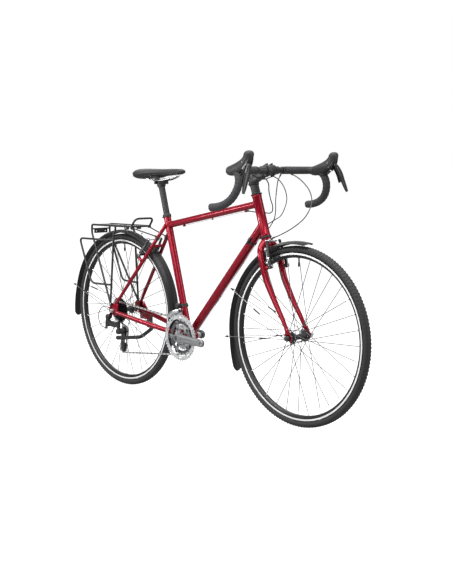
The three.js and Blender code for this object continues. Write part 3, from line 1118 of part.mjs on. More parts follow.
function leverBlade(side) {
  const pivot = leverPivot(side);
  const stations = LEVER_SHARES.map(([down, forward, splay, wide, tall]) => ({
    place: moved(pivot, LEVER_REACH * forward, side * LEVER_SPLAY * splay, -LEVER_LENGTH * down),
    wide: LEVER_WIDTH * wide,
    tall: LEVER_THICKNESS * tall,
  }));
  // The pin through its top turns in the two cheeks of the hood, along the line that the lever swings about.
  const reach = (LEVER_NOTCH_WIDTH / 2 - GAP - Math.sin(LEVER_HINGE_ANGLE) * LEVER_THICKNESS / 2)
    / Math.cos(LEVER_HINGE_ANGLE);
  const way = at(0, Math.cos(LEVER_HINGE_ANGLE), side * Math.sin(LEVER_HINGE_ANGLE)).multiplyScalar(reach);
  const middle = moved(pivot, 0, GAP, 0);
  const pin = rod(middle.clone().sub(way), middle.clone().add(way), LEVER_THICKNESS / 2,
    LEVER_THICKNESS / 2, CORD_SIDES);
  return join(limb(stations, AXLE_LINE, CORD_SIDES), pin);
}

// The notch at the front of the hood that the lever swings in, open to the front and below.
function leverNotch(side) {
  const pivot = leverPivot(side);
  return block(moved(pivot, LEVER_NOTCH_LENGTH / 2 - LEVER_THICKNESS, GAP,
    LEVER_NOTCH_TOP - LEVER_NOTCH_HEIGHT / 2), LEVER_NOTCH_LENGTH, LEVER_NOTCH_WIDTH, LEVER_NOTCH_HEIGHT);
}

// One arm of a rim brake, with its pad, hung on its boss.
function brakeArm(wheel, side) {
  const { root, out, up } = brakeSeat(wheel, side);
  const axle = wheel === 'front' ? frontAxle : rearAxle;
  const spot = (ahead, above, y) => sideways(
    root.clone().addScaledVector(out, ahead).addScaledVector(up, above), side * y);
  const front = BOSS_STANDOFF + GAP;
  const back = front + BRAKE_ARM_WIDTH;
  const middle = (front + back) / 2;
  const collar = rod(spot(front, 0, BRAKE_ARM_OFFSET), spot(back, 0, BRAKE_ARM_OFFSET), BOSS_DIAMETER / 2 + GAP * 2);
  const arm = limb([
    { place: spot(middle, 0, BRAKE_ARM_OFFSET), wide: BRAKE_ARM_THICKNESS, tall: BRAKE_ARM_WIDTH },
    { place: spot(middle, BRAKE_ARM_LENGTH * 0.35, BRAKE_ARM_OFFSET), wide: BRAKE_ARM_THICKNESS,
      tall: BRAKE_ARM_WIDTH },
    { place: spot(middle, BRAKE_ARM_LENGTH, BRAKE_ARM_TOP_OFFSET), wide: BRAKE_ARM_THICKNESS * 0.8,
      tall: BRAKE_ARM_WIDTH * 0.7 },
  ], AXLE_LINE, CORD_SIDES);
  const padRadius = WHEEL_RADIUS - TYRE_HEIGHT - PAD_HEIGHT * 0.8;
  const offset = root.clone().sub(axle).dot(out) + middle;
  const padUp = Math.sqrt(padRadius ** 2 - offset ** 2) - root.clone().sub(axle).dot(up);
  const padInner = RIM_WIDTH / 2 + PAD_CLEARANCE;
  const outward = spot(middle, padUp, 0).sub(axle);
  const tilt = Math.atan2(outward.z, outward.x) - Math.PI / 2;
  const pad = new THREE.BoxGeometry(PAD_LENGTH, PAD_THICKNESS, PAD_HEIGHT);
  pad.rotateY(-tilt);
  const centre = spot(middle, padUp, padInner + PAD_THICKNESS / 2);
  pad.translate(centre.x, centre.y, centre.z);
  const stud = rod(spot(middle, padUp, padInner + PAD_THICKNESS - GAP), spot(middle, padUp, BRAKE_ARM_OFFSET),
    PAD_HEIGHT / 3, PAD_HEIGHT / 3, ROD_SIDES);
  return { shape: join(collar, arm, solid(pad), stud), spot, middle };
}

function rimBrakes() {
  for (const wheel of ['front', 'rear']) {
    for (const [name, side] of Object.entries(SIDES)) {
      const { shape, spot, middle } = brakeArm(wheel, side);
      let whole = shape;
      if (side < 0) {
        // The right arm holds the bent pipe that the housing ends in.
        const top = BRAKE_ARM_LENGTH - NOODLE_DIAMETER;
        const noodle = tube(rounded([
          spot(middle, top, -NOODLE_TIP), spot(middle, top, NOODLE_SIDE), spot(middle + NOODLE_REACH, top, NOODLE_SIDE),
        ], NOODLE_REACH / 2), NOODLE_DIAMETER / 2, CORD_SIDES);
        whole = join(shape, noodle);
      }
      piece(`${wheel}_brake_arm_${name}`, whole, BLACK);
    }
  }
}

// A crowned strip round the wheel, open underneath.
function mudguardBand(centre, from, to, steps) {
  const section = new THREE.Shape();
  const half = MUDGUARD_WIDTH / 2;
  const outer = CROWN_SHARES.map(([across, rise]) => [half * across, MUDGUARD_CROWN * (1 - rise)]);
  const inner = CROWN_SHARES.map(([across, rise]) => [
    (half - MUDGUARD_WALL) * across, MUDGUARD_CROWN * (1 - rise) + (rise ? MUDGUARD_WALL : 0)]).reverse();
  section.setFromPoints([...outer, ...inner].map(([x, y]) => new THREE.Vector2(x, y)));
  const places = Array.from({ length: steps + 1 }, (_, i) => {
    const angle = from + ((to - from) * i) / steps;
    const radius = MUDGUARD_RADIUS + MUDGUARD_FLARE * Math.max(0, 1 - (steps - i) / 3);
    return moved(centre, radius * Math.cos(angle), 0, radius * Math.sin(angle));
  });
  return along(places, section, AXLE_LINE.clone());
}

// A wire stay from the ends of the axle round the back of the mudguard.
function mudguardStay(centre, anchor, angle) {
  const over = MUDGUARD_RADIUS + MUDGUARD_STAY_DIAMETER / 4;
  const clip = moved(centre, over * Math.cos(angle), 0, over * Math.sin(angle));
  const low = (side) => anchor(side);
  const high = (side) => sideways(clip, side * (MUDGUARD_WIDTH / 2 + MUDGUARD_STAY_DIAMETER / 2));
  const radius = MUDGUARD_STAY_DIAMETER / 2;
  return join(
    rod(low(1), high(1), radius, radius, ROD_SIDES), rod(low(-1), high(-1), radius, radius, ROD_SIDES),
    rod(high(-1), high(1), radius, radius, ROD_SIDES),
  );
}

function mudguards() {
  const rearCentre = moved(rearAxle, -MUDGUARD_SETBACK, 0, 0);
  const frontCentre = moved(frontAxle, -MUDGUARD_SETBACK / 2, 0, 0);
  const [rearFrom, rearTo] = REAR_MUDGUARD_ANGLES;
  const [frontFrom, frontTo] = FRONT_MUDGUARD_ANGLES;

  // The tab under the bridge between the seatstays holds the mudguard's front half.
  const { low, high } = seatstayLine(1);
  const bridgeAt = low.clone().lerp(high, BRIDGE_HEIGHT_SHARE);
  const under = bridgeAt.clone().sub(rearCentre);
  under.y = 0;
  const skinReach = MUDGUARD_RADIUS - MUDGUARD_WALL / 2;
  const tab = rod(rearCentre.clone().addScaledVector(under.clone().normalize(), skinReach),
    rearCentre.clone().addScaledVector(under.clone().normalize(),
      under.length() - BRIDGE_DIAMETER / 2 - GAP), BRIDGE_DIAMETER / 2, BRIDGE_DIAMETER / 2, ROD_SIDES);
  const rearAnchor = (side) => at(-RACK_FOOT_SETBACK - RACK_TUBE_DIAMETER,
    side * (REAR_HUB_WIDTH / 2 + DROPOUT_THICKNESS + 2 * GAP + MUDGUARD_STAY_DIAMETER * 0.8), WHEEL_RADIUS);
  const rearStay = mudguardStay(rearCentre, rearAnchor, REAR_STAY_ANGLE);
  piece('rear_mudguard', join(mudguardBand(rearCentre, rearFrom, rearTo, 26), tab, rearStay), BLACK);

  const crownUnder = onHead(-HEADSET_HEIGHT - CROWN_DROP - 6 * GAP);
  const crownWay = crownUnder.clone().sub(frontCentre);
  const frontTab = rod(frontCentre.clone().addScaledVector(crownWay.clone().normalize(), skinReach), crownUnder,
    BRIDGE_DIAMETER / 2 - GAP, BRIDGE_DIAMETER / 2 - GAP, ROD_SIDES);
  const frontAnchor = (rise) => (side) => moved(frontAxle, -DROPOUT_RADIUS * 0.75,
    side * (FRONT_HUB_WIDTH / 2 + DROPOUT_THICKNESS + 2 * GAP + MUDGUARD_STAY_DIAMETER / 2), rise);
  piece('front_mudguard', join(mudguardBand(frontCentre, frontFrom, frontTo, 18), frontTab,
    mudguardStay(frontCentre, frontAnchor(DROPOUT_RADIUS / 4), FRONT_STAY_ANGLES[0]),
    mudguardStay(frontCentre, frontAnchor(-DROPOUT_RADIUS / 4), FRONT_STAY_ANGLES[1])), BLACK);
}

function rack() {
  const radius = RACK_TUBE_DIAMETER / 2;
  const half = RACK_HALF_WIDTH;
  const thin = RACK_STAY_DIAMETER / 2;
  const crossBar = (x, z, size) => rod(at(x, -half, z), at(x, half, z), size, size, ROD_SIDES);
  const deck = [crossBar(RACK_FRONT, rackHeight, radius)];
  for (const share of RACK_BAR_SHARES) {
    deck.push(crossBar(RACK_FRONT + (RACK_REAR - RACK_FRONT) * share, rackHeight, thin));
  }
  const middle = (RACK_FRONT + RACK_REAR) / 2;
  deck.push(block(at(middle, 0, rackHeight), (RACK_FRONT - RACK_REAR) * 0.88, RACK_DECK_STRIP, radius));
  deck.push(block(at(RACK_REAR, 0, rackHeight - RACK_REAR_DROP * 0.6), radius, 2 * half, RACK_TUBE_DIAMETER * 1.6));
  const { out } = brakeSeat('rear', 1);
  for (const side of Object.values(SIDES)) {
    // The side tube bends down at the back, and a thin stay runs from its front to the seatstay.
    deck.push(tube(rounded([
      at(RACK_FRONT, side * half, rackHeight), at(RACK_REAR, side * half, rackHeight),
      at(RACK_REAR, side * half, rackHeight - RACK_REAR_DROP),
    ], RACK_BEND), radius));
    const { low, high } = seatstayLine(side);
    const meet = low.clone().lerp(high, RACK_STAY_SHARE)
      .addScaledVector(out, SEATSTAY_DIAMETER / 2 + thin + 2 * GAP);
    deck.push(rod(at(RACK_FRONT, side * half, rackHeight - radius), meet, thin, thin, ROD_SIDES));
  }
  deck.push(tube(rounded([
    at(RACK_FRONT, -half, rackHeight),
    at(RACK_FRONT + RACK_HOOP_LEAN, -half, rackHeight + RACK_HOOP_RISE),
    at(RACK_FRONT + RACK_HOOP_LEAN, half, rackHeight + RACK_HOOP_RISE),
    at(RACK_FRONT, half, rackHeight),
  ], RACK_BEND), radius));
  piece('rear_rack_deck', join(...deck), BLACK);

  // Each side frame hangs from the deck and stands on the dropout's eyelet.
  const plateFace = REAR_HUB_WIDTH / 2 + DROPOUT_THICKNESS + 2 * GAP;
  for (const [name, side] of Object.entries(SIDES)) {
    const top = rackHeight - radius - GAP;
    const foot = at(-RACK_FOOT_SETBACK, side * RACK_FOOT_SPREAD, WHEEL_RADIUS + RACK_FOOT_RISE);
    const knee = at(0, side * (half + RACK_TUBE_DIAMETER), top - RACK_BEND);
    const upright = [at(0, side * half, top), at(0, side * half, top - RACK_BEND / 2), knee, foot];
    const rearTop = rackHeight - RACK_REAR_DROP - GAP;
    const rearLeg = [
      at(RACK_REAR, side * half, rearTop), at(RACK_REAR, side * half, rearTop - RACK_BEND / 2), foot,
    ];
    const rail = (x, z) => at(x, side * RACK_RAIL_SPREAD, z);
    const onUpright = (z) => knee.clone().lerp(foot, (knee.z - z) / (knee.z - foot.z));
    const hang = rounded([
      onUpright(rackRail), rail(RACK_RAIL_REAR * 0.2, rackRail),
      rail(RACK_RAIL_REAR, rackRail), rail(RACK_RAIL_REAR * RACK_RAIL_SHARE, rackRailFoot),
      onUpright(rackRailFoot),
    ], RACK_BEND);
    const toe = block(foot, RACK_TUBE_DIAMETER * 1.6, RACK_TUBE_DIAMETER / 2, RACK_TUBE_DIAMETER * 2);
    const plateSkin = block(sideways(foot, side * (plateFace - RACK_TUBE_DIAMETER)), RACK_TUBE_DIAMETER * 4,
      RACK_TUBE_DIAMETER * 2, RACK_TUBE_DIAMETER * 6);
    piece(`rear_rack_side_${name}`,
      cut(join(tube(upright, radius), tube(rearLeg, radius), tube(hang, radius), toe), plateSkin), BLACK);
  }
}

function seat() {
  const postFoot = onSeat(SEAT_TUBE_LENGTH - POST_INSERTION);
  const head = rod(sideways(postTop, -POST_HEAD_DIAMETER / 2), sideways(postTop, POST_HEAD_DIAMETER / 2),
    POST_HEAD_DIAMETER / 2);
  piece('seatpost', join(rod(postFoot, postTop, POST_DIAMETER / 2), head), BLACK);

  // The cradle sits on the round head and holds the two rails, which bend up to the saddle's shell.
  const rails = Object.values(SIDES).map((side) => {
    const rail = (share, spread, z) => at(saddleRear + SADDLE_LENGTH * share, side * RAIL_SPREAD * spread, z);
    return tube(rounded([
      rail(RAIL_SHARES.rearTip, RAIL_SHARES.rearSpread, railTip(RAIL_SHARES.rearTip)),
      rail(RAIL_SHARES.rearBend, 1, railHeight), rail(RAIL_SHARES.frontBend, 1, railHeight),
      rail(RAIL_SHARES.frontTip, RAIL_SHARES.frontSpread, railTip(RAIL_SHARES.frontTip)),
    ], RAIL_DIAMETER * 5), RAIL_DIAMETER / 2);
  });
  const cradleTop = railHeight + RAIL_DIAMETER / 2;
  const cradle = cut(block(at(postTop.x, 0, (postTop.z + cradleTop) / 2), POST_HEAD_DIAMETER * 1.3,
    2 * RAIL_SPREAD + RAIL_DIAMETER * 1.5, cradleTop - postTop.z), rod(sideways(postTop, -RAIL_SPREAD * 2),
    sideways(postTop, RAIL_SPREAD * 2), turnable(POST_HEAD_DIAMETER / 2)),
  rod(postFoot, postTop, POST_DIAMETER / 2 + RUNNING_GAP));
  piece('saddle_rails_and_cradle', join(cradle, ...rails), SILVER);

  piece('saddle', saddle(), RUBBER);
}

const saddleDepth = (deep) => SADDLE_NOSE_DEPTH + (SADDLE_DEPTH - SADDLE_NOSE_DEPTH) * deep;

// How high a rail's end may reach below the saddle there.
function railTip(share) {
  const after = SADDLE_SHARES.findIndex(([forward]) => forward >= share);
  const under = SADDLE_SHARES.slice(Math.max(after - 1, 0), after + 1)
    .map(([, , top, deep]) => saddleTop - SADDLE_DEPTH * top - saddleDepth(deep));
  return Math.min(...under) - RAIL_DIAMETER / 2 - GAP;
}

// The saddle's sections run from its wide rear to its narrow nose, each a crowned, drawn-in outline.
function saddle() {
  const last = SADDLE_SHARES.length - 1;
  const sides = SADDLE_RING_SHARES.length;
  const geometry = new THREE.CylinderGeometry(1, 1, 1, sides, last);
  const corners = geometry.attributes.position;
  for (let i = 0; i < corners.count; i++) {
    const station = SADDLE_SHARES[Math.round((corners.getY(i) + 0.5) * last)];
    const [forward, wide, top, deep] = station;
    const turn = Math.atan2(corners.getX(i), corners.getZ(i));
    const spoke = Math.hypot(corners.getX(i), corners.getZ(i));
    const [across, rise] = SADDLE_RING_SHARES[(Math.round((turn / (2 * Math.PI)) * sides) + sides) % sides];
    const half = (SADDLE_NOSE_WIDTH + (SADDLE_WIDTH - SADDLE_NOSE_WIDTH) * wide) / 2;
    const depth = saddleDepth(deep);
    const middle = saddleTop - SADDLE_DEPTH * top - depth / 2;
    corners.setXYZ(i, saddleRear + SADDLE_LENGTH * forward, half * across * spoke,
      middle + (depth / 2) * (spoke ? rise : 0));
  }
  return solid(geometry);
}

function kickstand() {
  const plateOuter = REAR_HUB_WIDTH / 2 + GAP + DROPOUT_THICKNESS;
  const pivot = at(KICKSTAND_PIVOT_FORWARD, KICKSTAND_OFFSET, WHEEL_RADIUS - KICKSTAND_PIVOT_DROP);
  const mountFoot = pivot.z + KICKSTAND_LEG_DIAMETER / 2 + GAP;
  const mountTop = WHEEL_RADIUS - CHAINSTAY_DIAMETER;
  const depth = KICKSTAND_OFFSET + KICKSTAND_LEG_DIAMETER / 2 - plateOuter - GAP;
  piece('kickstand_bracket', block(at(pivot.x - KICKSTAND_LEG_DIAMETER / 2, plateOuter + GAP + depth / 2,
    (mountFoot + mountTop) / 2), KICKSTAND_LEG_DIAMETER * 2, depth, mountTop - mountFoot), BLACK);

  const bend = moved(pivot, -KICKSTAND_LENGTH * KICKSTAND_BEND_SHARES.back, 0,
    -KICKSTAND_LENGTH * KICKSTAND_BEND_SHARES.drop);
  const end = moved(pivot, -KICKSTAND_LENGTH, 0, -KICKSTAND_LENGTH * KICKSTAND_DROP_SHARE);
  const foot = end.clone().add(bend.clone().sub(end).setLength(KICKSTAND_FOOT_LENGTH));
  // The pivot's line is turned a little so that the leg swings down and outwards.
  const hinge = at(-Math.sin(KICKSTAND_SPLAY_ANGLE), Math.cos(KICKSTAND_SPLAY_ANGLE), 0)
    .multiplyScalar(KICKSTAND_LEG_DIAMETER / 2);
  piece('kickstand_leg', join(
    tube(rounded([pivot, bend, foot.clone().lerp(end, 0.5)], KICKSTAND_LEG_DIAMETER * 2),
      KICKSTAND_LEG_DIAMETER / 2, CORD_SIDES),
    rod(pivot.clone().sub(hinge), pivot.clone().add(hinge), KICKSTAND_LEG_DIAMETER / 2),
    rod(foot, end, KICKSTAND_FOOT_DIAMETER / 2, KICKSTAND_FOOT_DIAMETER / 2, CORD_SIDES),
  ), GREY);
}

function housings() {
  const cord = (name, origin, shares, diameter, steps) => {
    const places = shares.map(([x, y, z]) => moved(origin, CORD_SPAN * x, CORD_SPAN * y, CORD_SPAN * z));
    piece(name, tube(smooth(places, steps), diameter / 2, CORD_SIDES), RUBBER);
  };
  cord('front_brake_housing', barCentre, FRONT_BRAKE_LOOP_SHARES, BRAKE_HOUSING_DIAMETER, 28);
  cord('rear_brake_housing', barCentre, REAR_BRAKE_LOOP_SHARES, BRAKE_HOUSING_DIAMETER, 18);
  cord('left_shift_housing', barCentre, LEFT_SHIFT_LOOP_SHARES, GEAR_HOUSING_DIAMETER, 20);
  cord('right_shift_housing', barCentre, RIGHT_SHIFT_LOOP_SHARES, GEAR_HOUSING_DIAMETER, 18);
  cord('rear_gear_housing', rearAxle, REAR_GEAR_LOOP_SHARES, GEAR_HOUSING_DIAMETER, 18);
}

frameTubes();
rearStays();
axles();
wheel('rear', rearAxle, REAR_HUB_WIDTH, REAR_FLANGE_LEFT, REAR_FLANGE_RIGHT);
wheel('front', frontAxle, FRONT_HUB_WIDTH, FRONT_FLANGE_SPREAD, FRONT_FLANGE_SPREAD);
drivetrain();
frontDerailleur();
rearDerailleur();
forkAndHeadset();
stemAndBar();
rimBrakes();
mudguards();
rack();
seat();
kickstand();
housings();

// The bicycle stands on z = 0, centred over the origin.
const bounds = new THREE.Box3().setFromObject(bicycle);
const centre = bounds.getCenter(at(0, 0, 0));
for (const mesh of bicycle.children) mesh.geometry.translate(-centre.x, -centre.y, -bounds.min.z);

export default bicycle;
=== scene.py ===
# %% [markdown]
# # A touring bicycle
#
# The bicycle arrives as a set of plain solids that already have their places and move on their
# joints. Each step below dresses one part of it: smooth tubes, laced wheels, a chain of real links,
# wrapped tape. Lengths are written in millimetres, as on a workshop drawing, and measured from the
# rear axle; the helper `at` turns them into Blender's metres.

# %% Load the fixed frame
import math
from contextlib import contextmanager
import bpy
from mathutils import Matrix, Vector


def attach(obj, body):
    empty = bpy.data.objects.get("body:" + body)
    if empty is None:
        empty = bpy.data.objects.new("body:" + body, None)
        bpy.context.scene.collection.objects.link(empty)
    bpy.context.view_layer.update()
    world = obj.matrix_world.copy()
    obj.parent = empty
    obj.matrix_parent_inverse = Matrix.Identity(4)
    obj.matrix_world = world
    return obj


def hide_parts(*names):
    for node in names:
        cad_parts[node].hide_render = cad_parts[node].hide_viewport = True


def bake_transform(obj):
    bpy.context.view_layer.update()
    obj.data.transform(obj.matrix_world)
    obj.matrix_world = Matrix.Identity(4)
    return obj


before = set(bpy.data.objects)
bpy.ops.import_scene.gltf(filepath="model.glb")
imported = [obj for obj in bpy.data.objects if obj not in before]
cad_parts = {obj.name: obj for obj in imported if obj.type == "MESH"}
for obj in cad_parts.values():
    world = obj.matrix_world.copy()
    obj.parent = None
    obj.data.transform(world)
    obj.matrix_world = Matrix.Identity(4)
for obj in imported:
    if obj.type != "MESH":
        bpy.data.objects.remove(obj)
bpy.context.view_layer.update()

REAR_AXLE_X = -514.9

# %% [markdown]
# ## Camera, light and floor
#
# The camera stands where the photographer stood: low, in front of the bicycle on its right. Its place
# was worked out from the ellipses of the two wheels. The light is a studio's: large soft lamps above,
# beside the camera, in front and behind, a long strip overhead and a low lamp at the side that draws
# the bright lines along the tubes. The white surround is there for what the camera and the shiny
# surfaces see, and adds only a little to the light on the bicycle.

# %% Camera
scene = bpy.context.scene
scene.view_settings.view_transform = "Standard"
bpy.ops.object.select_all(action="DESELECT")
CAMERA_PLACE = Vector((3.04903, -2.70108, 0.94953))
CAMERA_LOOK = Vector((-0.7262, 0.6773, -0.1181))
CAMERA_ROLL = -0.0019
bpy.ops.object.camera_add(location=CAMERA_PLACE)
camera = bpy.context.object
turn = CAMERA_LOOK.to_track_quat("-Z", "Y").to_matrix() @ Matrix.Rotation(CAMERA_ROLL, 3, "Z")
camera.rotation_euler = turn.to_euler()
camera.data.sensor_width = 36
camera.data.lens = 61.1
scene.camera = camera
print("camera", camera.data.lens)


# %% Lamps
def lamp(name, place, target, size, power):
    """A large soft rectangle of light that faces the target."""
    bpy.ops.object.light_add(type="AREA", location=place)
    light = bpy.context.object
    light.name = name
    light.data.shape = "RECTANGLE"
    light.data.size, light.data.size_y = size
    light.data.energy = power
    light.rotation_euler = (Vector(target) - Vector(place)).to_track_quat("-Z", "Y").to_euler()


lamp("overhead", (0.4, -0.3, 3.2), (0, 0, 0.4), (3.2, 1.6), 58)
lamp("beside_camera", (0.8, -3.6, 2.0), (0, 0, 0.5), (2.6, 1.6), 42)
lamp("front", (3.4, 1.2, 1.6), (0, 0, 0.5), (1.6, 1.6), 26)
lamp("behind", (-2.6, 2.4, 2.0), (0, 0, 0.5), (2.2, 1.6), 26)
lamp("strip", (0.5, -1.5, 3.0), (0.1, 0, 0.6), (4.2, 0.22), 56)
lamp("side", (-1.85, -2.4, 0.95), (0, 0, 0.75), (1.3, 0.4), 26)
print("lamps", len(bpy.data.lights))


# %% World and floor
def wire_up(material, pairs):
    """Links sockets given as (node, output, node, input)."""
    for source, out, target, into in pairs:
        material.node_tree.links.new(source.outputs[out], target.inputs[into])


def by_ray(tree, lit, mirrored, seen):
    """One strength for light on the bicycle, one for its reflections and one for the camera."""
    rays = tree.nodes.new("ShaderNodeLightPath")
    steps = []
    for ray in ("Is Glossy Ray", "Is Camera Ray"):
        step = tree.nodes.new("ShaderNodeMix")
        step.data_type = "FLOAT"
        tree.links.new(rays.outputs[ray], step.inputs["Factor"])
        steps.append(step)
    steps[0].inputs["A"].default_value = lit
    if isinstance(mirrored, float):
        steps[0].inputs["B"].default_value = mirrored
    else:
        tree.links.new(mirrored, steps[0].inputs["B"])
    tree.links.new(steps[0].outputs["Result"], steps[1].inputs["A"])
    steps[1].inputs["B"].default_value = seen
    return steps[1].outputs["Result"]


world = bpy.data.worlds.new("studio")
scene.world = world
world.use_nodes = True
tree = world.node_tree
tree.nodes.clear()
surround = tree.nodes.new("ShaderNodeBackground")
surround.inputs["Color"].default_value = (1, 1, 1, 1)
toward = tree.nodes.new("ShaderNodeTexCoord")
parts_of = tree.nodes.new("ShaderNodeSeparateXYZ")
ceiling = tree.nodes.new("ShaderNodeMapRange")
for key, value in (("From Min", 0.5), ("From Max", 0.8), ("To Min", 0.4), ("To Max", 1.3)):
    ceiling.inputs[key].default_value = value
tree.links.new(toward.outputs["Generated"], parts_of.inputs[0])
tree.links.new(parts_of.outputs["Z"], ceiling.inputs["Value"])
output = tree.nodes.new("ShaderNodeOutputWorld")
strength = by_ray(tree, lit=0.4, mirrored=ceiling.outputs["Result"], seen=1.0)
tree.links.new(strength, surround.inputs["Strength"])
tree.links.new(surround.outputs[0], output.inputs[0])

bpy.ops.mesh.primitive_plane_add(size=60, location=(0, 0, -0.0005))
floor = bpy.context.object
floor.name = "floor"
paper = bpy.data.materials.new("white_floor")
paper.use_nodes = True
tree = paper.node_tree
tree.nodes.clear()
matt = tree.nodes.new("ShaderNodeBsdfDiffuse")
matt.inputs["Color"].default_value = (0.42, 0.42, 0.42, 1)
glow = tree.nodes.new("ShaderNodeEmission")
both = tree.nodes.new("ShaderNodeAddShader")
output = tree.nodes.new("ShaderNodeOutputMaterial")
tree.links.new(by_ray(tree, lit=0.0, mirrored=0.0, seen=0.93), glow.inputs["Strength"])
tree.links.new(matt.outputs[0], both.inputs[0])
tree.links.new(glow.outputs[0], both.inputs[1])
tree.links.new(both.outputs[0], output.inputs[0])
floor.data.materials.append(paper)
print("floor", floor.name)

# %% [markdown]
# ## Finishes
#
# A bicycle has few materials, but each one has a grain of its own: metal flakes under the clear coat
# of the paint, fine pits in satin black coating, cords and pores in rubber. Every finish starts
# from one Principled shader, and noise of the right size varies its colour, its roughness and its
# surface a little. The patterns use the object's own coordinates, so they stay where they are when a
# part turns.


# %% One helper for every finish
def finish(name, colour, rough, metal=0.0, coat=0.0, grain=900, bump=0.1, vary=0.12, spread=0.08,
           specular=0.5):
    """A Principled material whose colour, gloss and surface vary with a noise of a given grain."""
    material = bpy.data.materials.new(name)
    material.use_nodes = True
    nodes = material.node_tree.nodes
    shader = nodes["Principled BSDF"]
    shader.inputs["Metallic"].default_value = metal
    shader.inputs["Coat Weight"].default_value = coat
    shader.inputs["Coat Roughness"].default_value = 0.04
    shader.inputs["Specular IOR Level"].default_value = specular
    place = nodes.new("ShaderNodeTexCoord")
    noise = nodes.new("ShaderNodeTexNoise")
    noise.inputs["Scale"].default_value = grain
    noise.inputs["Detail"].default_value = 3
    ramp = nodes.new("ShaderNodeValToRGB")
    ramp.color_ramp.elements[0].position = 0.3
    ramp.color_ramp.elements[1].position = 0.7
    ramp.color_ramp.elements[0].color = (*[c * (1 - vary) for c in colour], 1)
    ramp.color_ramp.elements[1].color = (*[min(1, c * (1 + vary)) for c in colour], 1)
    gloss = nodes.new("ShaderNodeMapRange")
    gloss.inputs["To Min"].default_value = max(0.02, rough - spread)
    gloss.inputs["To Max"].default_value = min(1, rough + spread)
    relief = nodes.new("ShaderNodeBump")
    relief.name = "Relief"
    relief.inputs["Strength"].default_value = bump
    relief.inputs["Distance"].default_value = 0.0004
    wire_up(material, [
        (place, "Object", noise, "Vector"), (noise, "Fac", ramp, "Fac"),
        (ramp, "Color", shader, "Base Color"), (noise, "Fac", gloss, "Value"),
        (gloss, "Result", shader, "Roughness"), (noise, "Fac", relief, "Height"),
        (relief, "Normal", shader, "Normal"),
    ])
    return material


RED = finish("crimson_paint", (0.27, 0.0002, 0.014), 0.3, 0.6, 0.5, grain=2600, bump=0.03,
             vary=0.25, spread=0.05, specular=0.1)
SATIN = finish("satin_black_coating", (0.022, 0.022, 0.024), 0.42, 0.1, grain=1400, bump=0.12, vary=0.25)
GLOSS = finish("gloss_black_plastic", (0.016, 0.016, 0.017), 0.24, grain=300, bump=0.05, vary=0.3)
MATT = finish("matt_black_plastic", (0.025, 0.025, 0.027), 0.55, grain=1800, bump=0.25, vary=0.2)
HOOD = finish("hood_rubber", (0.024, 0.024, 0.025), 0.5, grain=1100, bump=0.35, vary=0.2)
PAD = finish("brake_block_rubber", (0.03, 0.03, 0.032), 0.8, grain=1200, bump=0.4)
SILVER = finish("polished_silver", (0.68, 0.69, 0.71), 0.16, 1.0, grain=700, bump=0.04, vary=0.05,
                spread=0.05)
STEEL = finish("drawn_steel", (0.5, 0.5, 0.52), 0.24, 1.0, grain=600, bump=0.05, vary=0.1)
SPOKE = finish("spoke_steel", (0.12, 0.12, 0.125), 0.3, 1.0, grain=600, bump=0.05, vary=0.1)
CHAIN_STEEL = finish("oiled_chain_steel", (0.62, 0.61, 0.59), 0.3, 0.8, grain=700, bump=0.1, vary=0.3)
DARK_STEEL = finish("dark_cog_steel", (0.1, 0.1, 0.105), 0.34, 1.0, grain=700, bump=0.1, vary=0.3)
CRANK_GREY = finish("anodised_grey", (0.28, 0.285, 0.295), 0.4, 0.7, grain=900, bump=0.12, vary=0.12)
# Painted shade: a darker grey for the left crank, whose inner face lies in shadow, and for the middle ring
# inside the big ring.
DARK_GREY_AND_PAINTED_SHADE = finish("dark_grey_and_painted_shade", (0.11, 0.112, 0.118), 0.4, 0.7, grain=900, bump=0.12, vary=0.12)
RING_GREY = finish("bead_blasted_silver", (0.6, 0.61, 0.62), 0.4, 0.6, grain=1300, bump=0.3, vary=0.12)
CABLE = finish("housing_plastic", (0.04, 0.04, 0.042), 0.3, grain=500, bump=0.05, vary=0.2)
print("finishes", len(bpy.data.materials))

# %% [markdown]
# ## Tools of the bench
#
# Five ways of making a shape cover almost the whole bicycle: a bar drawn along a line, a part turned
# on a lathe, a plate cut to an outline, a limb wrapped round changing sections, and a pin. Each one
# starts from a primitive and is worked in edit mode, as it would be by hand.

# %% Places, selection and settling
Y, UP = Vector((0, 1, 0)), Vector((0, 0, 1))
SIDES = (("left", 1), ("right", -1))


def at(x, y, z):
    """A place in millimetres from the rear axle, turned into metres."""
    return Vector((x + REAR_AXLE_X, y, z)) / 1000


def ray_at(turn):
    """The direction at a turn round a sideways axis; 0 is forward and a quarter turn is up."""
    return Vector((math.cos(turn), 0, math.sin(turn)))


def clear():
    if bpy.context.object and bpy.context.object.mode != "OBJECT":
        bpy.ops.object.mode_set(mode="OBJECT")
    bpy.ops.object.select_all(action="DESELECT")


def choose(*things):
    clear()
    for thing in things:
        thing.select_set(True)
    bpy.context.view_layer.objects.active = things[0]


def settle(thing):
    """Puts the object at the origin, with its place in its mesh."""
    choose(thing)
    bpy.ops.object.transform_apply(location=True, rotation=True, scale=True)
    return thing


def modify(thing, kind, **settings):
    choose(thing)
    step = thing.modifiers.new(kind.title(), kind)
    for key, value in settings.items():
        setattr(step, key, value)
    bpy.ops.object.modifier_apply(modifier=step.name)
    return thing


def soften(thing, width, segments=2):
    """Breaks the sharp edges of a machined part."""
    return modify(thing, "BEVEL", width=width / 1000, segments=segments, limit_method="ANGLE",
                  angle_limit=math.radians(32))


def carve(thing, *tools, keep=False):
    """Cuts tools out of a part; they are gone afterwards, unless they are kept for another cut."""
    for tool in tools:
        modify(thing, "BOOLEAN", operation="DIFFERENCE", solver="EXACT", object=tool)
        if not keep:
            bpy.data.objects.remove(tool)
    return thing


def weld(*things):
    """Makes one object of several."""
    if len(things) > 1:
        choose(*things)
        bpy.ops.object.join()
    return things[0]


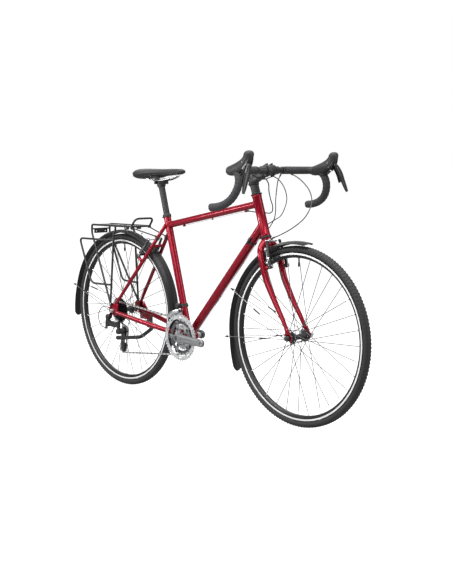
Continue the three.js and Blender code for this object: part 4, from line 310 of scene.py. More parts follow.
def twin(thing, matrix):
    """A copy with its own mesh, moved by a matrix."""
    choose(thing)
    bpy.ops.object.duplicate(linked=False)
    copy = bpy.context.object
    copy.data.transform(matrix)
    if matrix.determinant() < 0:
        copy.data.flip_normals()
    return copy


def paint(thing, material):
    thing.data.materials.clear()
    thing.data.materials.append(material)
    return thing


def dress(name, thing, body, *nodes, smooth=35):
    """Names a finished piece, smooths it, puts it on its body, or, given the two bodies of a joint, bakes its
    place into its mesh, and takes the place of plain solids."""
    thing.name = thing.data.name = name
    choose(thing)
    bpy.ops.object.shade_smooth_by_angle(angle=math.radians(smooth))
    if isinstance(body, str):
        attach(thing, body)
    else:
        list(body)
        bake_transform(thing)
    if nodes:
        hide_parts(*nodes)
    print(name, len(thing.data.polygons))
    return thing


# %% Bars, turned parts, plates, limbs
def bar(points, radius, sides=16, closed=False):
    """A round bar along a line of places; the radius is one value or a list, in millimetres."""
    clear()
    bpy.ops.curve.primitive_nurbs_path_add()
    path = bpy.context.object
    path.location = (0, 0, 0)
    line = path.data
    line.splines.clear()
    run = line.splines.new("POLY")
    run.points.add(len(points) - 1)
    run.use_cyclic_u = closed
    radii = radius if isinstance(radius, list) else [radius] * len(points)
    for knot, place, size in zip(run.points, points, radii):
        knot.co = (*place, 1)
        knot.radius = size / 1000
    line.dimensions = "3D"
    line.fill_mode = "FULL"
    line.bevel_depth = 1
    line.bevel_resolution = max(0, sides // 2 - 2)
    line.use_fill_caps = not closed
    bpy.ops.object.convert(target="MESH")
    return tidy_mesh(bpy.context.object)


@contextmanager
def editing(thing):
    """Opens a part in edit mode with all of it selected."""
    choose(thing)
    bpy.ops.object.mode_set(mode="EDIT")
    bpy.ops.mesh.select_all(action="SELECT")
    yield
    bpy.ops.object.mode_set(mode="OBJECT")


def tidy_mesh(thing, fill=False):
    """Merges doubles, drops loose bits, closes open ends if asked and turns every face outwards."""
    with editing(thing):
        bpy.ops.mesh.remove_doubles(threshold=1e-6)
        bpy.ops.mesh.delete_loose(use_verts=True, use_edges=True, use_faces=False)
        bpy.ops.mesh.select_all(action="SELECT")
        if fill:
            bpy.ops.mesh.fill_holes(sides=0)
        bpy.ops.mesh.normals_make_consistent(inside=False)
    return thing


def outline_ring(places):
    """A closed wire of edges through the places, from a primitive circle."""
    clear()
    bpy.ops.mesh.primitive_circle_add(vertices=len(places), radius=1)
    ring = bpy.context.object
    for corner, place in zip(ring.data.vertices, places):
        corner.co = place
    return ring


def turned(profile, centre, way=Y, steps=48):
    """A part turned on a lathe from [radius, distance along the way] pairs in millimetres."""
    way = way.normalized()
    side = way.orthogonal().normalized()
    part = outline_ring([centre + side * (r / 1000) + way * (h / 1000) for r, h in profile])
    with editing(part):
        bpy.ops.mesh.spin(steps=steps, angle=2 * math.pi, center=centre, axis=way)
    return tidy_mesh(part)


def washer(inner, outer, start, end, centre, way=Y, steps=48, cut=None):
    """A turned ring from one distance along the way to another; cut is (inwards, along) at its edges."""
    low, high = [(outer, start)], [(outer, end)]
    if cut:
        low = [(outer - cut[0], start), (outer, start + cut[1])]
        high = [(outer, end - cut[1]), (outer - cut[0], end)]
    return turned([(inner, start), *low, *high, (inner, end)], centre, way, steps)


def plate(outline, start, end, lift=None):
    """A flat plate standing along the bicycle: an outline of [forward, up] pairs between two sideways
    places; lift may instead place each corner itself."""
    lift = lift or (lambda x, z: at(x, start, z))
    part = outline_ring([lift(x, z) for x, z in outline])
    with editing(part):
        bpy.ops.mesh.edge_face_add()
        bpy.ops.mesh.extrude_region_move(
            TRANSFORM_OT_translate={"value": (0, (end - start) / 1000, 0)})
    return tidy_mesh(part)


def wrap(count, sides, place):
    """Wraps a grid round a limb: place(ring number, turn) gives each corner; both ends are filled."""
    clear()
    bpy.ops.mesh.primitive_grid_add(x_subdivisions=sides, y_subdivisions=count, size=2)
    sheet = bpy.context.object
    for corner in sheet.data.vertices:
        ring = round((corner.co.y + 1) / 2 * count)
        step = round((corner.co.x + 1) / 2 * sides) % sides
        corner.co = place(ring, 2 * math.pi * step / sides)
    return tidy_mesh(sheet, fill=True)


def between(here, there, slope0, slope1, t):
    """A smooth value between two, from the slopes at both."""
    return (here * (2 * t**3 - 3 * t**2 + 1) + slope0 * (t**3 - 2 * t**2 + t)
            + there * (3 * t**2 - 2 * t**3) + slope1 * (t**3 - t**2))


def curve(places, steps):
    """A smooth line through given places, with evenly spread points."""
    points = [Vector(place) for place in places]
    points = [2 * points[0] - points[1], *points, 2 * points[-1] - points[-2]]
    dense = []
    for p0, p1, p2, p3 in zip(points, points[1:], points[2:], points[3:]):
        g0, g1, g2 = [max((b - a).length ** 0.5, 1e-5) for a, b in ((p0, p1), (p1, p2), (p2, p3))]
        pull1 = ((p1 - p0) / g0 - (p2 - p0) / (g0 + g1) + (p2 - p1) / g1) * g1
        pull2 = ((p2 - p1) / g1 - (p3 - p1) / (g1 + g2) + (p3 - p2) / g2) * g1
        dense += [between(p1, p2, pull1, pull2, k / 24) for k in range(24)]
    dense.append(points[-2])
    lengths = [0]
    for a, b in zip(dense, dense[1:]):
        lengths.append(lengths[-1] + (b - a).length)
    out = []
    spot = 0
    for k in range(steps + 1):
        goal = lengths[-1] * k / steps
        while spot < len(dense) - 2 and lengths[spot + 1] < goal:
            spot += 1
        span = lengths[spot + 1] - lengths[spot] or 1
        out.append(dense[spot].lerp(dense[spot + 1], min(1, (goal - lengths[spot]) / span)))
    return out


def limb(stations, across=Y, steps=40, sides=24, square=2.0):
    """A smooth limb through stations of (place, width, height) in metres and millimetres; a square
    value over 2 makes its section boxier."""
    places = curve([place for place, _, _ in stations], steps)
    marks = [0]
    for a, b in zip(stations, stations[1:]):
        marks.append(marks[-1] + (b[0] - a[0]).length)
    sizes = curve([(mark / marks[-1], wide / 100, tall / 100) for mark, (_, wide, tall)
                   in zip(marks, stations)], 160)
    frames = []
    for k, spot in enumerate(places):
        share = k / steps
        size = min(sizes, key=lambda s: abs(s.x - share))
        tangent = (places[min(k + 1, steps)] - places[max(k - 1, 0)]).normalized()
        side = (across - tangent * across.dot(tangent)).normalized()
        frames.append((spot, side, tangent.cross(side), size.y / 20, size.z / 20))

    def place(ring, turn):
        spot, side, up, wide, tall = frames[ring]
        c, s = math.cos(turn), math.sin(turn)
        reach = (abs(c) ** square + abs(s) ** square) ** (-1 / square)
        return spot + side * (c * reach * wide) + up * (s * reach * tall)

    return wrap(steps, sides, place)


def pin(start, end, radius, bevel=0.4, steps=24):
    """A short round bar with broken edges, from one place to another."""
    way = end - start
    length = way.length * 1000
    b = min(bevel, radius / 3, length / 3)
    return turned([(0, 0), (radius - b, 0), (radius, b), (radius, length - b), (radius - b, length),
                   (0, length)], start, way, steps)


def bolt(place, way, radius, height, material=SILVER):
    """A round bolt head with a hollow for the key."""
    head = turned([(0, -0.5), (radius, -0.5), (radius, height * 0.75), (radius * 0.85, height),
                   (radius * 0.52, height), (radius * 0.48, height * 0.35), (0, height * 0.35)],
                  place, way, 18)
    return paint(head, material)


def block(centre, size, bevel=0.6, turn=None):
    """A block with soft edges; sizes in millimetres."""
    clear()
    bpy.ops.mesh.primitive_cube_add(size=1, location=centre)
    part = bpy.context.object
    part.scale = Vector(size) / 1000
    if turn:
        part.rotation_euler = turn
    settle(part)
    return soften(part, bevel)


def rounded(places, radius, steps=8):
    """A line with its corners rounded."""
    out = [places[0]]
    for before, corner, after in zip(places, places[1:], places[2:]):
        back, ahead = before - corner, after - corner
        reach = min(radius / 1000, back.length / 2, ahead.length / 2)
        start = corner + back.normalized() * reach
        end = corner + ahead.normalized() * reach
        for k in range(steps + 1):
            t = k / steps
            out.append(start * (1 - t) ** 2 + corner * (2 * t * (1 - t)) + end * t ** 2)
    out.append(places[-1])
    return out


# %% [markdown]
# ## The frame's main points
#
# A bicycle frame is drawn from a few lines: the seat line and the head line, both leaning back, the
# two axles and the bracket between them. Every tube below runs between places on those lines.

# %% Main points
WHEEL_RADIUS, WHEELBASE = 343, 1065
CHAINSTAY, BRACKET_DROP = 447, 71
SEAT_LENGTH, HEAD_LENGTH, HEAD_HEIGHT, FORK_OFFSET = 527, 163, 713, 50
TOP_TUBE, DOWN_TUBE, SEAT_TUBE, HEAD_TUBE, SHELL = 14.3, 17.45, 15.5, 18.5, 20
SEAT_ANGLE = math.radians(74.4)
HEAD_ANGLE = math.radians(72)
rear_axle = at(0, 0, WHEEL_RADIUS)
front_axle = at(WHEELBASE, 0, WHEEL_RADIUS)
BRACKET = (math.sqrt(CHAINSTAY**2 - BRACKET_DROP**2), 0, WHEEL_RADIUS - BRACKET_DROP)
bracket = at(*BRACKET)
seat_line = Vector((-math.cos(SEAT_ANGLE), 0, math.sin(SEAT_ANGLE)))
seat_forward = Vector((math.sin(SEAT_ANGLE), 0, math.cos(SEAT_ANGLE)))
head_line = Vector((-math.cos(HEAD_ANGLE), 0, math.sin(HEAD_ANGLE)))
head_forward = Vector((math.sin(HEAD_ANGLE), 0, math.cos(HEAD_ANGLE)))
HEAD_BASE = (WHEELBASE - FORK_OFFSET / math.sin(HEAD_ANGLE)
             - (HEAD_HEIGHT - WHEEL_RADIUS) / math.tan(HEAD_ANGLE), 0, HEAD_HEIGHT)
head_base = at(*HEAD_BASE)


def on_seat(distance):
    return bracket + seat_line * (distance / 1000)


def on_head(distance):
    return head_base + head_line * (distance / 1000)


def shift(place, x=0, y=0, z=0):
    return place + Vector((x, y, z)) / 1000


def side_of(place, y):
    """The same place seen from the side, at another sideways distance in millimetres."""
    return Vector((place.x, y / 1000, place.z))


print("bracket", [round(v) for v in BRACKET], "head", [round(v) for v in HEAD_BASE])

# %% [markdown]
# ## Welded steel tubes
#
# The main triangle is drawn from plain steel tubes, and what makes it look welded is the small fillet
# where one tube meets another. That line is where a cylinder enters a cylinder: for each direction
# round the smaller tube the place where it meets the larger one is worked out, and a thin bead is
# drawn through those places.


# %% Weld beads
def bead(start, end, radius, other_start, other_end, other_radius, size=1.7):
    """A bead of weld where the tube that ends at `end` meets the other tube."""
    way = (start - end).normalized()
    line = (other_end - other_start).normalized()
    u = way.orthogonal().normalized()
    v = way.cross(u)
    places = []
    for k in range(48):
        angle = 2 * math.pi * k / 48
        origin = end + (u * math.cos(angle) + v * math.sin(angle)) * (radius / 1000)
        rel = origin - other_start
        a_vec = rel - line * rel.dot(line)
        b_vec = way - line * way.dot(line)
        a, b = b_vec.dot(b_vec), 2 * a_vec.dot(b_vec)
        c = a_vec.dot(a_vec) - (other_radius / 1000) ** 2
        root = b * b - 4 * a * c
        places.append(origin + way * ((-b + math.sqrt(max(root, 0))) / (2 * a)))
    return bar(places, size, 8, closed=True)


seat_top = on_seat(SEAT_LENGTH)
head_top = on_head(HEAD_LENGTH)
top_front, top_rear = on_head(HEAD_LENGTH - 33), on_seat(481)
down_front = on_head(46)
shell_tube = (side_of(bracket, -30), side_of(bracket, 30), SHELL)
seat_tube_line = (bracket, seat_top, SEAT_TUBE)
head_tube_line = (head_base, head_top, HEAD_TUBE)
print("head tube", round((head_top - head_base).length * 1000))


# %% Seat tube, bracket shell, collar
def cable_stop(place, way, length=14, radius=4.3):
    """A short slotted barrel that a housing ends in."""
    return turned([(2.6, 1.4), (radius - 0.6, 1.4), (radius, 2), (radius, length - 5),
                   (radius - 1.4, length), (1.4, length), (1.4, 6), (2.6, 5)], place, way, 20)


def bottle_boss(place, way):
    return turned([(0, 0), (5.2, 0), (4.6, 1.6), (2.6, 2.2), (0, 2.2)], place, way, 20)


seat_tube = turned([(0, 0), (SEAT_TUBE, 0), (SEAT_TUBE, SEAT_LENGTH), (14.15, SEAT_LENGTH), (14.15, 275),
                    (0, 275)], bracket, seat_line)
shell = washer(13, SHELL, -34, 34, bracket, cut=(1, 1))
bosses = [bottle_boss(on_seat(height) + seat_forward * 0.0152, seat_forward) for height in (215, 279)]
beads = [bead(on_seat(100), bracket, SEAT_TUBE, *shell_tube)]
seat_part = paint(weld(seat_tube, shell, *bosses, *beads), RED)
dress("seat_tube_and_shell", seat_part, "frame", "seat_tube_and_bottom_bracket")

collar = washer(15.9, 18, -13, 0, seat_top, seat_line, 40, (0.4, 0.6))
ears = block(on_seat(520.5) - seat_forward * 0.0212, (9, 13, 10), 1.2, (0, math.pi / 2 - SEAT_ANGLE, 0))
bolt_at = on_seat(520.5) - seat_forward * 0.022
collar_bolt = paint(pin(shift(bolt_at, 0, -8.5), shift(bolt_at, 0, 8.5), 2.4), SILVER)
paint(ears, SATIN)
dress("seat_clamp", weld(paint(collar, SATIN), ears, collar_bolt), "frame", "seat_collar")

# %% Top tube, down tube and head tube
def on_cord(x, y, z):
    """A place given from the middle of the handlebar, in millimetres."""
    return shift(bar_centre, x, y, z)


STEM_FOOT = HEAD_LENGTH + 9 + 30 + 0.7
stem_root = on_head(STEM_FOOT + 20)
STEM_RISE = math.pi / 2 - HEAD_ANGLE + math.radians(6.5)
stem_way = ray_at(STEM_RISE)
bar_centre = stem_root + stem_way * 0.094

top_tube = bar([top_rear, top_front], TOP_TUBE, 40)
back_top = (top_rear - top_front).normalized()
below_top = Vector((0, 0, -0.0182))
front_stop = on_cord(-118.2, 0, -157.1)
rear_stop = top_rear.lerp(top_front, 0.2) + below_top
top_parts = [cable_stop(front_stop, back_top), cable_stop(rear_stop, back_top),
             cable_stop(top_rear.lerp(top_front, 0.52) + below_top, back_top, 8, 3.6),
             bead(top_front, top_rear, TOP_TUBE, *seat_tube_line),
             bead(top_rear, top_front, TOP_TUBE, *head_tube_line)]
wire = paint(bar([front_stop, rear_stop], 0.8, 8), STEEL)
dress("top_tube_with_stops", weld(paint(weld(top_tube, *top_parts), RED), wire), "frame", "top_tube")

head_tube = turned([(15.5, 0), (18.9, 0), (19.3, 1), (19.3, 8), (18.5, 9.5), (18.5, 153), (19.3, 154.5),
                    (19.3, 162), (18.9, 163), (15.5, 163)], head_base, head_line, 56)
down_tube = bar([bracket.lerp(down_front, 0.03), down_front], DOWN_TUBE, 44)
back_down = (bracket - down_front).normalized()
down_under = Vector((-back_down.z, 0, back_down.x))
left_stop, right_stop = on_cord(-56, 17, -253.3), on_cord(-40.6, 21, -218.4)
down_parts = [cable_stop(left_stop, back_down), cable_stop(right_stop, back_down),
              bead(down_front, bracket, DOWN_TUBE, *shell_tube),
              bead(bracket, down_front, DOWN_TUBE, *head_tube_line)]
for share in (0.3, 0.41):
    spot = bracket.lerp(down_front, share) + down_under * 0.0172
    down_parts.append(bottle_boss(spot, down_under))
fittings = []
for stop, run in ((left_stop, 8), (right_stop, -8)):
    middle = bracket.lerp(down_front, 0.5) + (Y * 0.7 + down_under * 0.7) * 0.0205
    guide = shift(bracket, 4, run, -21)
    line = curve([stop, middle, guide.lerp(down_front, 0.12) + down_under * 0.004, guide], 40)
    fittings.append(paint(bar(line, 0.8, 8), STEEL))
band_at = bracket - back_down * ((on_cord(-48, 0, -235) - bracket).dot(-back_down) - 0.058)
for side, stop in ((1, left_stop), (-1, None)):
    foot = side_of(band_at, side * 21.5)
    barrel = turned([(0, 0), (3.4, 0), (3.4, 8), (4.6, 9), (5.2, 11), (5.2, 22), (4.4, 24), (3, 25), (3, 32),
                     (0, 32)], foot + back_down * 0.012, -back_down, 20)
    fittings.append(paint(barrel, GLOSS))
    if stop:
        fittings.append(paint(bar([stop, foot - back_down * 0.02], 1.9, 12), CABLE))
band = washer(17.3, 19.2, -5, 5, band_at, back_down, 44, (0.3, 1))
guide_block = block(shift(bracket, 2, 0, -21.2), (18, 26, 4), 1.2)
fittings += [paint(band, SATIN), paint(guide_block, MATT)]
down_part = paint(weld(down_tube, head_tube, *down_parts), RED)
dress("down_tube_and_head", weld(down_part, *fittings), "frame", "down_tube_and_head_tube")

# %% [markdown]
# ## Stays and dropouts
#
# Two pairs of thinner tubes hold the rear wheel. The chainstays run wide past the tyre and then in
# beside the chainrings, so they are drawn through five places. The flat dropouts at their ends are
# plates with a slot for the axle, and the right one carries the lug of the rear derailleur.

# %% Chainstays and dropouts
def axle_slot(thing, x, inner, side, width):
    """Cuts the slot of a dropout, open below, through a plate that begins at `inner`."""
    hole = pin(at(x, inner - side * 4, WHEEL_RADIUS), at(x, inner + side * 10, WHEEL_RADIUS), 5.5, 0.1, 32)
    return carve(thing, hole, block(at(x, inner, WHEEL_RADIUS - 20), (11, width, 40), 0.1))


def dropout_plate(side, *extra):
    """The plate that holds the axle, with the outlines that are added to it."""
    inner = side * 67.9
    outer = inner + side * 6
    part = plate([(-20, 323), (30, 323), (37, 338), (38, 377), (-11, 377), (-17, 362), (-20, 348)],
                 inner, outer)
    for outline in extra:
        part = weld(part, plate(outline, inner, outer))
    return soften(axle_slot(part, 0, inner, side, 24), 0.8)


for name, side in SIDES:
    low_rear = Vector((30, 0, 338))
    spread = []
    for along, out in ((0, 1), (0.35, 0.80), (0.755, 0.325), (0.9, 0.05), (1, 0)):
        spot = low_rear.lerp(Vector(BRACKET), along)
        spread.append(at(spot.x, side * (18 + 52.8 * out), spot.z))
    line = curve(spread, 40)
    stations = [(line[k], 15.2 + 0.045 * k, min(17 + 0.45 * k, 22.5)) for k in range(0, 41, 4)]
    stay = limb(stations, steps=60, sides=32)
    if side > 0:
        parts = [dropout_plate(side, [(20, 297), (85, 297), (85, 326), (46, 377), (20, 377)])]
    else:
        parts = [dropout_plate(side), pin(at(-17, -67.9, 315), at(-17, -73.9, 315), 9, 0.6, 32),
                 soften(plate([(-26, 315), (-8, 315), (-5.5, 333), (-20, 333)], -67.9, -73.9), 0.6),
                 cable_stop(at(-17, -77.5, 355), Vector((1, 0, 0)), 7, 4.2)]
    parts.append(bead(line[20], side_of(bracket, side * 18), 8.5, *shell_tube, 1.3))
    dress(f"chainstay_{name}_with_dropout", paint(weld(stay, *parts), RED), "frame", f"chainstay_{name}")


# %% Seatstays, their bridge and the brake bosses
def stay_ends(side):
    low = at(26, side * 70.8, 377)
    high = side_of(on_seat(481), side * 17)
    return low, high


low, high = stay_ends(1)
stay_up = Vector((high.x - low.x, 0, high.z - low.z)).normalized()
stay_out = Vector((-stay_up.z, 0, stay_up.x))
stay_run = math.hypot(high.x - low.x, high.z - low.z)
rear_brake_root = low.lerp(high, 0.25 / stay_run)
for name, side in SIDES:
    low, high = stay_ends(side)
    way = (high - low).normalized()
    tip_at = low - way * 0.004
    root = side_of(rear_brake_root, side * 44)
    stay = bar(curve([tip_at, low.lerp(high, 0.5), high], 12),
               [6.6 + 1.4 * min(1, k / 4) for k in range(13)], 28)
    parts = [pin(root, root + stay_out * 0.025, 6.4, 0.8, 32),
             turned([(6.4, 0), (8.6, 0), (7.2, 5), (6.4, 7)], root + stay_out * 0.003, stay_out, 32),
             turned([(0, 0), (5.4, 0), (6.7, 3), (6.7, 6), (0, 6)], tip_at, way, 28)]
    if side < 0:
        bridge = low.lerp(high, 0.74)
        mate = side_of(bridge, -bridge.y * 1000)
        parts += [bar([bridge, mate], 6.5, 24),
                  bead(side_of(bridge, 0), bridge, 6.5, low, high, 8, 1.2),
                  bead(side_of(bridge, 0), mate, 6.5, *stay_ends(1), 8, 1.2)]
    dress(f"seatstay_{name}_with_boss", paint(weld(stay, *parts), RED), "frame", f"seatstay_{name}")

# %% [markdown]
# ## The fork
#
# The fork's two blades leave the crown sideways, pass the tyre and sweep forward to the axle while
# they thin out. Each is one limb wrapped round nine sections. The steerer above the crown turns
# inside the head tube, and the lower bearing ring sits between them.

# %% Fork
FORK_REACH = (head_base - front_axle).dot(head_line)
BLADE = [(0.05, 0.25, 0, 1, 1), (0.085, 0.62, 0, 1, 1), (0.13, 0.9, 0, 1, 1), (0.19, 1, 0, 1, 1),
         (0.42, 1, 0, 0.94, 0.98), (0.55, 1, 0.2, 0.86, 0.9), (0.68, 1, 0.45, 0.76, 0.8),
         (0.81, 1.02, 0.76, 0.64, 0.68), (0.93, 1.04, 0.97, 0.54, 0.54)]
front_drop = FORK_REACH - math.sqrt(0.284**2 - 0.05**2)
front_brake_root = head_base - head_line * front_drop
steerer = bar([on_head(-12), on_head(236)], 14.3, 40)
crown = turned([(0, -43.7), (13, -43.7), (14.4, -40), (17.6, -18), (19, -13), (19, -9.7), (0, -9.7)],
               head_base, head_line, 48)
fork_parts = [crown]
for side in (1, -1):
    stations = []
    for down, out, forward, wide, tall in BLADE:
        spot = head_base - head_line * (FORK_REACH * down) + head_forward * (0.05 * forward)
        stations.append((side_of(spot, side * 49 * out), 26 * wide, 26 * tall))
    blade = limb(stations, steps=56, sides=28)
    inner, outer = side * 50.35, side * 56.35
    end = stations[-1][0]
    x = (end.x * 1000) - REAR_AXLE_X
    eye = pin(at(WHEELBASE, inner, WHEEL_RADIUS), at(WHEELBASE, outer, WHEEL_RADIUS), 15, 0.7, 48)
    web = plate([(x - 7, end.z * 1000 + 9), (WHEELBASE - 15, 335.5), (WHEELBASE, 335.5),
                 (WHEELBASE + 15, WHEEL_RADIUS), (x + 7, end.z * 1000 + 9)], inner, outer)
    for part in (eye, web):
        axle_slot(part, WHEELBASE, inner, side, 30)
    root = side_of(front_brake_root, side * 44)
    boss = pin(root, root + head_forward * 0.025, 6.4, 0.8, 32)
    foot = turned([(6.4, 8), (9.4, 8), (7.6, 14), (6.4, 16)], root, head_forward, 32)
    low_eye = washer(2.6, 5, 0, 5, at(WHEELBASE - 21, inner, 352), Y * side, 20)
    fork_parts += [blade, eye, soften(web, 0.6), boss, foot, low_eye]
dress("fork_with_steerer", paint(weld(steerer, *fork_parts), RED), "steering", "fork")

# %% Headset
lower = turned([(14.9, -9.35), (19.6, -9.35), (21.2, -7.4), (22, -6.6), (22, -2.2), (21, -1.2), (19.4, -0.35),
                (14.9, -0.35)], head_base, head_line, 56)
dress("lower_bearing_ring", paint(lower, SATIN), "frame", "headset_lower")
cover = turned([(14.9, 163.35), (19.4, 163.35), (21.4, 164.6), (22, 166), (22, 167.8), (17.6, 171.6),
                (17, 172.4), (14.9, 172.4)], head_base, head_line, 56)
spacers = [washer(14.9, 17, z, z + 9.9, head_base, head_line, 56, (0.3, 0.4))
           for z in (172.5, 182.45, 192.4)]
dress("headset_cover_with_spacers", paint(weld(cover, *spacers), SATIN), "steering",
      "headset_cover_and_spacers")

# %% [markdown]
# ## Stem and handlebar
#
# The stem clamps the steerer with two bolts behind and the bar with four in front, behind a split
# faceplate. Its body is a boxy limb that swells into both clamps.

# %% Stem
foot = on_head(STEM_FOOT)
clamp = washer(14.9, 19.2, 0.2, 39.8, foot, head_line, 48, (0.8, 1))
body = limb([(stem_root + stem_way * 0.008, 31, 33), (stem_root + stem_way * 0.03, 28, 31),
             (stem_root + stem_way * 0.062, 28, 30), (bar_centre - stem_way * 0.012, 36, 34)],
            steps=24, sides=32, square=3.6)
bar_clamp = washer(16.1, 20.9, -22, 22, bar_centre, Y, 56, (0.7, 1))
carve(body, pin(on_head(STEM_FOOT - 6), on_head(STEM_FOOT + 39.4), 14.75, 0.1, 48),
      pin(side_of(bar_centre, -40), side_of(bar_centre, 40), 16.05, 0.1, 56))
split = stem_way.cross(Y).normalized()
face_gap = bar_centre + stem_way * 0.002
for sign in (1, -1):
    carve(bar_clamp, block(face_gap + split * (sign * 0.0195), (1.6, 46, 5), 0.1, (0, -STEM_RISE, 0)))
lugs, bolts = [], []
for sign in (1, -1):
    for y in (-13, 13):
        lug_at = side_of(bar_centre + split * (sign * 0.0205), y)
        lug = limb([(lug_at - stem_way * 0.011, 9, 9), (lug_at + stem_way * 0.0115, 9, 8)], steps=4, sides=20)
        lugs.append(soften(lug, 1.2))
        bolts.append(bolt(lug_at + stem_way * 0.0115, stem_way, 3.1, 2.4, DARK_STEEL))
for height in (10, 30):
    spot = on_head(STEM_FOOT + height) - head_forward * 0.0185
    lug = limb([(shift(spot, 0, y), 11, 9) for y in (-9.5, 9.5)], across=head_line, steps=4, sides=20)
    lugs.append(soften(lug, 1.2))
    bolts.append(bolt(shift(spot, 0, -9.5), -Y, 3.1, 2.4, DARK_STEEL))
cap = turned([(0, 40), (17, 40), (18, 41), (17.4, 43.6), (14, 44.8), (7, 45), (5.6, 43), (0, 43)],
             foot, head_line)
bolts.append(bolt(foot + head_line * 0.043, head_line, 4.2, 2.2, DARK_STEEL))
stem = paint(weld(clamp, body, bar_clamp, cap, *lugs), SATIN)
dress("stem_with_faceplate", weld(stem, *bolts), "steering", "stem", smooth=40)

# %% Handlebar
HOOK = [(0, 0.85, 0, 0), (0.044, 0.94, 0, 0), (0.206, 1, 0, 0), (0.581, 1, 0.015, 0.14),
        (0.869, 1, 0.12, 0.256), (0.994, 1, 0.314, 0.395), (0.944, 1, 0.53, 0.558),
        (0.706, 1, 0.754, 0.72), (0.331, 1, 0.903, 0.837), (-0.106, 1, 0.978, 0.93), (-0.506, 1, 1, 1)]
REACH, HALF_WIDTH, FLARE, DROP = 80, 218, 43, 135
BAR_RADIUS, MIDDLE_RADIUS = 11.9, 15.85


HALF_STEPS = 70


def bar_line(side, start, steps):
    """The centre line of one half of the bar, from a sideways place to its end."""
    spots = [shift(bar_centre, REACH * forward, side * (HALF_WIDTH * out + FLARE * flare), -DROP * down)
             for forward, out, down, flare in HOOK]
    return curve([shift(bar_centre, 0, side * start, 0), *spots], steps)


half = [bar_line(side, 55, HALF_STEPS) for side in (1, -1)]
middle = [shift(bar_centre, 0, y, 0) for y in (-44, 44)]
whole = [*reversed(half[1]), *middle, *half[0]]
widths = [BAR_RADIUS] * (HALF_STEPS + 1) + [MIDDLE_RADIUS] * 2 + [BAR_RADIUS] * (HALF_STEPS + 1)
dress("drop_bar", paint(bar(whole, widths, 32), SATIN), "steering", "handlebar")

# %% [markdown]
# ## Bar tape
#
# The tape is a strip wound round the bar in overlapping turns. Each turn is a shallow cone, thick at
# its free edge, so the section along the bar is a row of low steps that lean, and the winding is one
# continuous spiral. It is finished with a band by the stem and a plug at the tip.

# %% Bar tape
def wound(line, inner, pitch, thick, sides=30):
    """A wound strip: the radius rises along each turn and drops at its edge."""
    marks = [0]
    for a, b in zip(line, line[1:]):
        marks.append(marks[-1] + (b - a).length * 1000)
    rings = int(marks[-1] / (pitch / 6))
    spots, spot = [], 0
    for k in range(rings + 1):
        goal = marks[-1] * k / rings
        while spot < len(marks) - 2 and marks[spot + 1] < goal:
            spot += 1
        share = (goal - marks[spot]) / (marks[spot + 1] - marks[spot])
        spots.append((line[spot].lerp(line[spot + 1], share), goal))
    frames, side = [], UP
    for k, (place, goal) in enumerate(spots):
        tangent = (spots[min(k + 1, rings)][0] - spots[max(k - 1, 0)][0]).normalized()
        side = (side - tangent * side.dot(tangent)).normalized()
        frames.append((place, side, tangent.cross(side), goal))

    def place(ring, turn):
        spot, u, v, goal = frames[ring]
        phase = (goal / pitch + turn / (2 * math.pi)) % 1
        radius = inner + thick * (0.6 + 0.4 * min(phase, 13 * (1 - phase)))
        end = min(1, min(goal, marks[-1] - goal) / 3 + 0.55)
        return spot + (u * math.cos(turn) + v * math.sin(turn)) * (radius * end / 1000)

    return wrap(rings, sides, place)


TAPE = finish("bar_tape", (0.034, 0.034, 0.037), 0.72, grain=2200, bump=0.5, vary=0.25, spread=0.06)
for name, side in SIDES:
    line = bar_line(side, 68, 160)
    tape = paint(wound(line, 12.3, 15, 3.1), TAPE)
    plug = turned([(0, -6), (14.2, -6), (15, -3), (14.6, 1), (11, 3.4), (4, 4), (0, 4)], line[-1],
                  (line[-1] - line[-2]).normalized(), 32)
    band = washer(12.2, 15.1, -1, 12, line[0], (line[1] - line[0]).normalized(), 32, (0.2, 1))
    dress(f"bar_tape_{name}", weld(tape, paint(plug, GLOSS), paint(band, GLOSS)), "steering",
          f"bar_tape_{name}", smooth=50)

# %% [markdown]
# ## Brake hoods and levers
#
# The hoods are rubber bodies that sit on the bend of the bar and rise forward to a blunt horn. They are
# limbs through nine sections. The blades hang on a pin across the hood and curve down in front of
# the drops, each with a gear paddle behind it.

# %% Hoods
HOOD_ROWS = [(-0.03, -0.02, 0.7, 0.44), (0.06, -0.01, 0.92, 0.68), (0.3, 0.05, 1, 0.84),
             (0.56, 0.17, 0.98, 0.9), (0.79, 0.39, 0.86, 0.82), (0.92, 0.62, 0.86, 0.74),
             (0.985, 0.85, 0.98, 0.7), (0.985, 0.96, 0.86, 0.52), (0.98, 1.02, 0.5, 0.24)]


def lever_pivot(side):
    return at(1014.30, side * 228.02, 991.43)


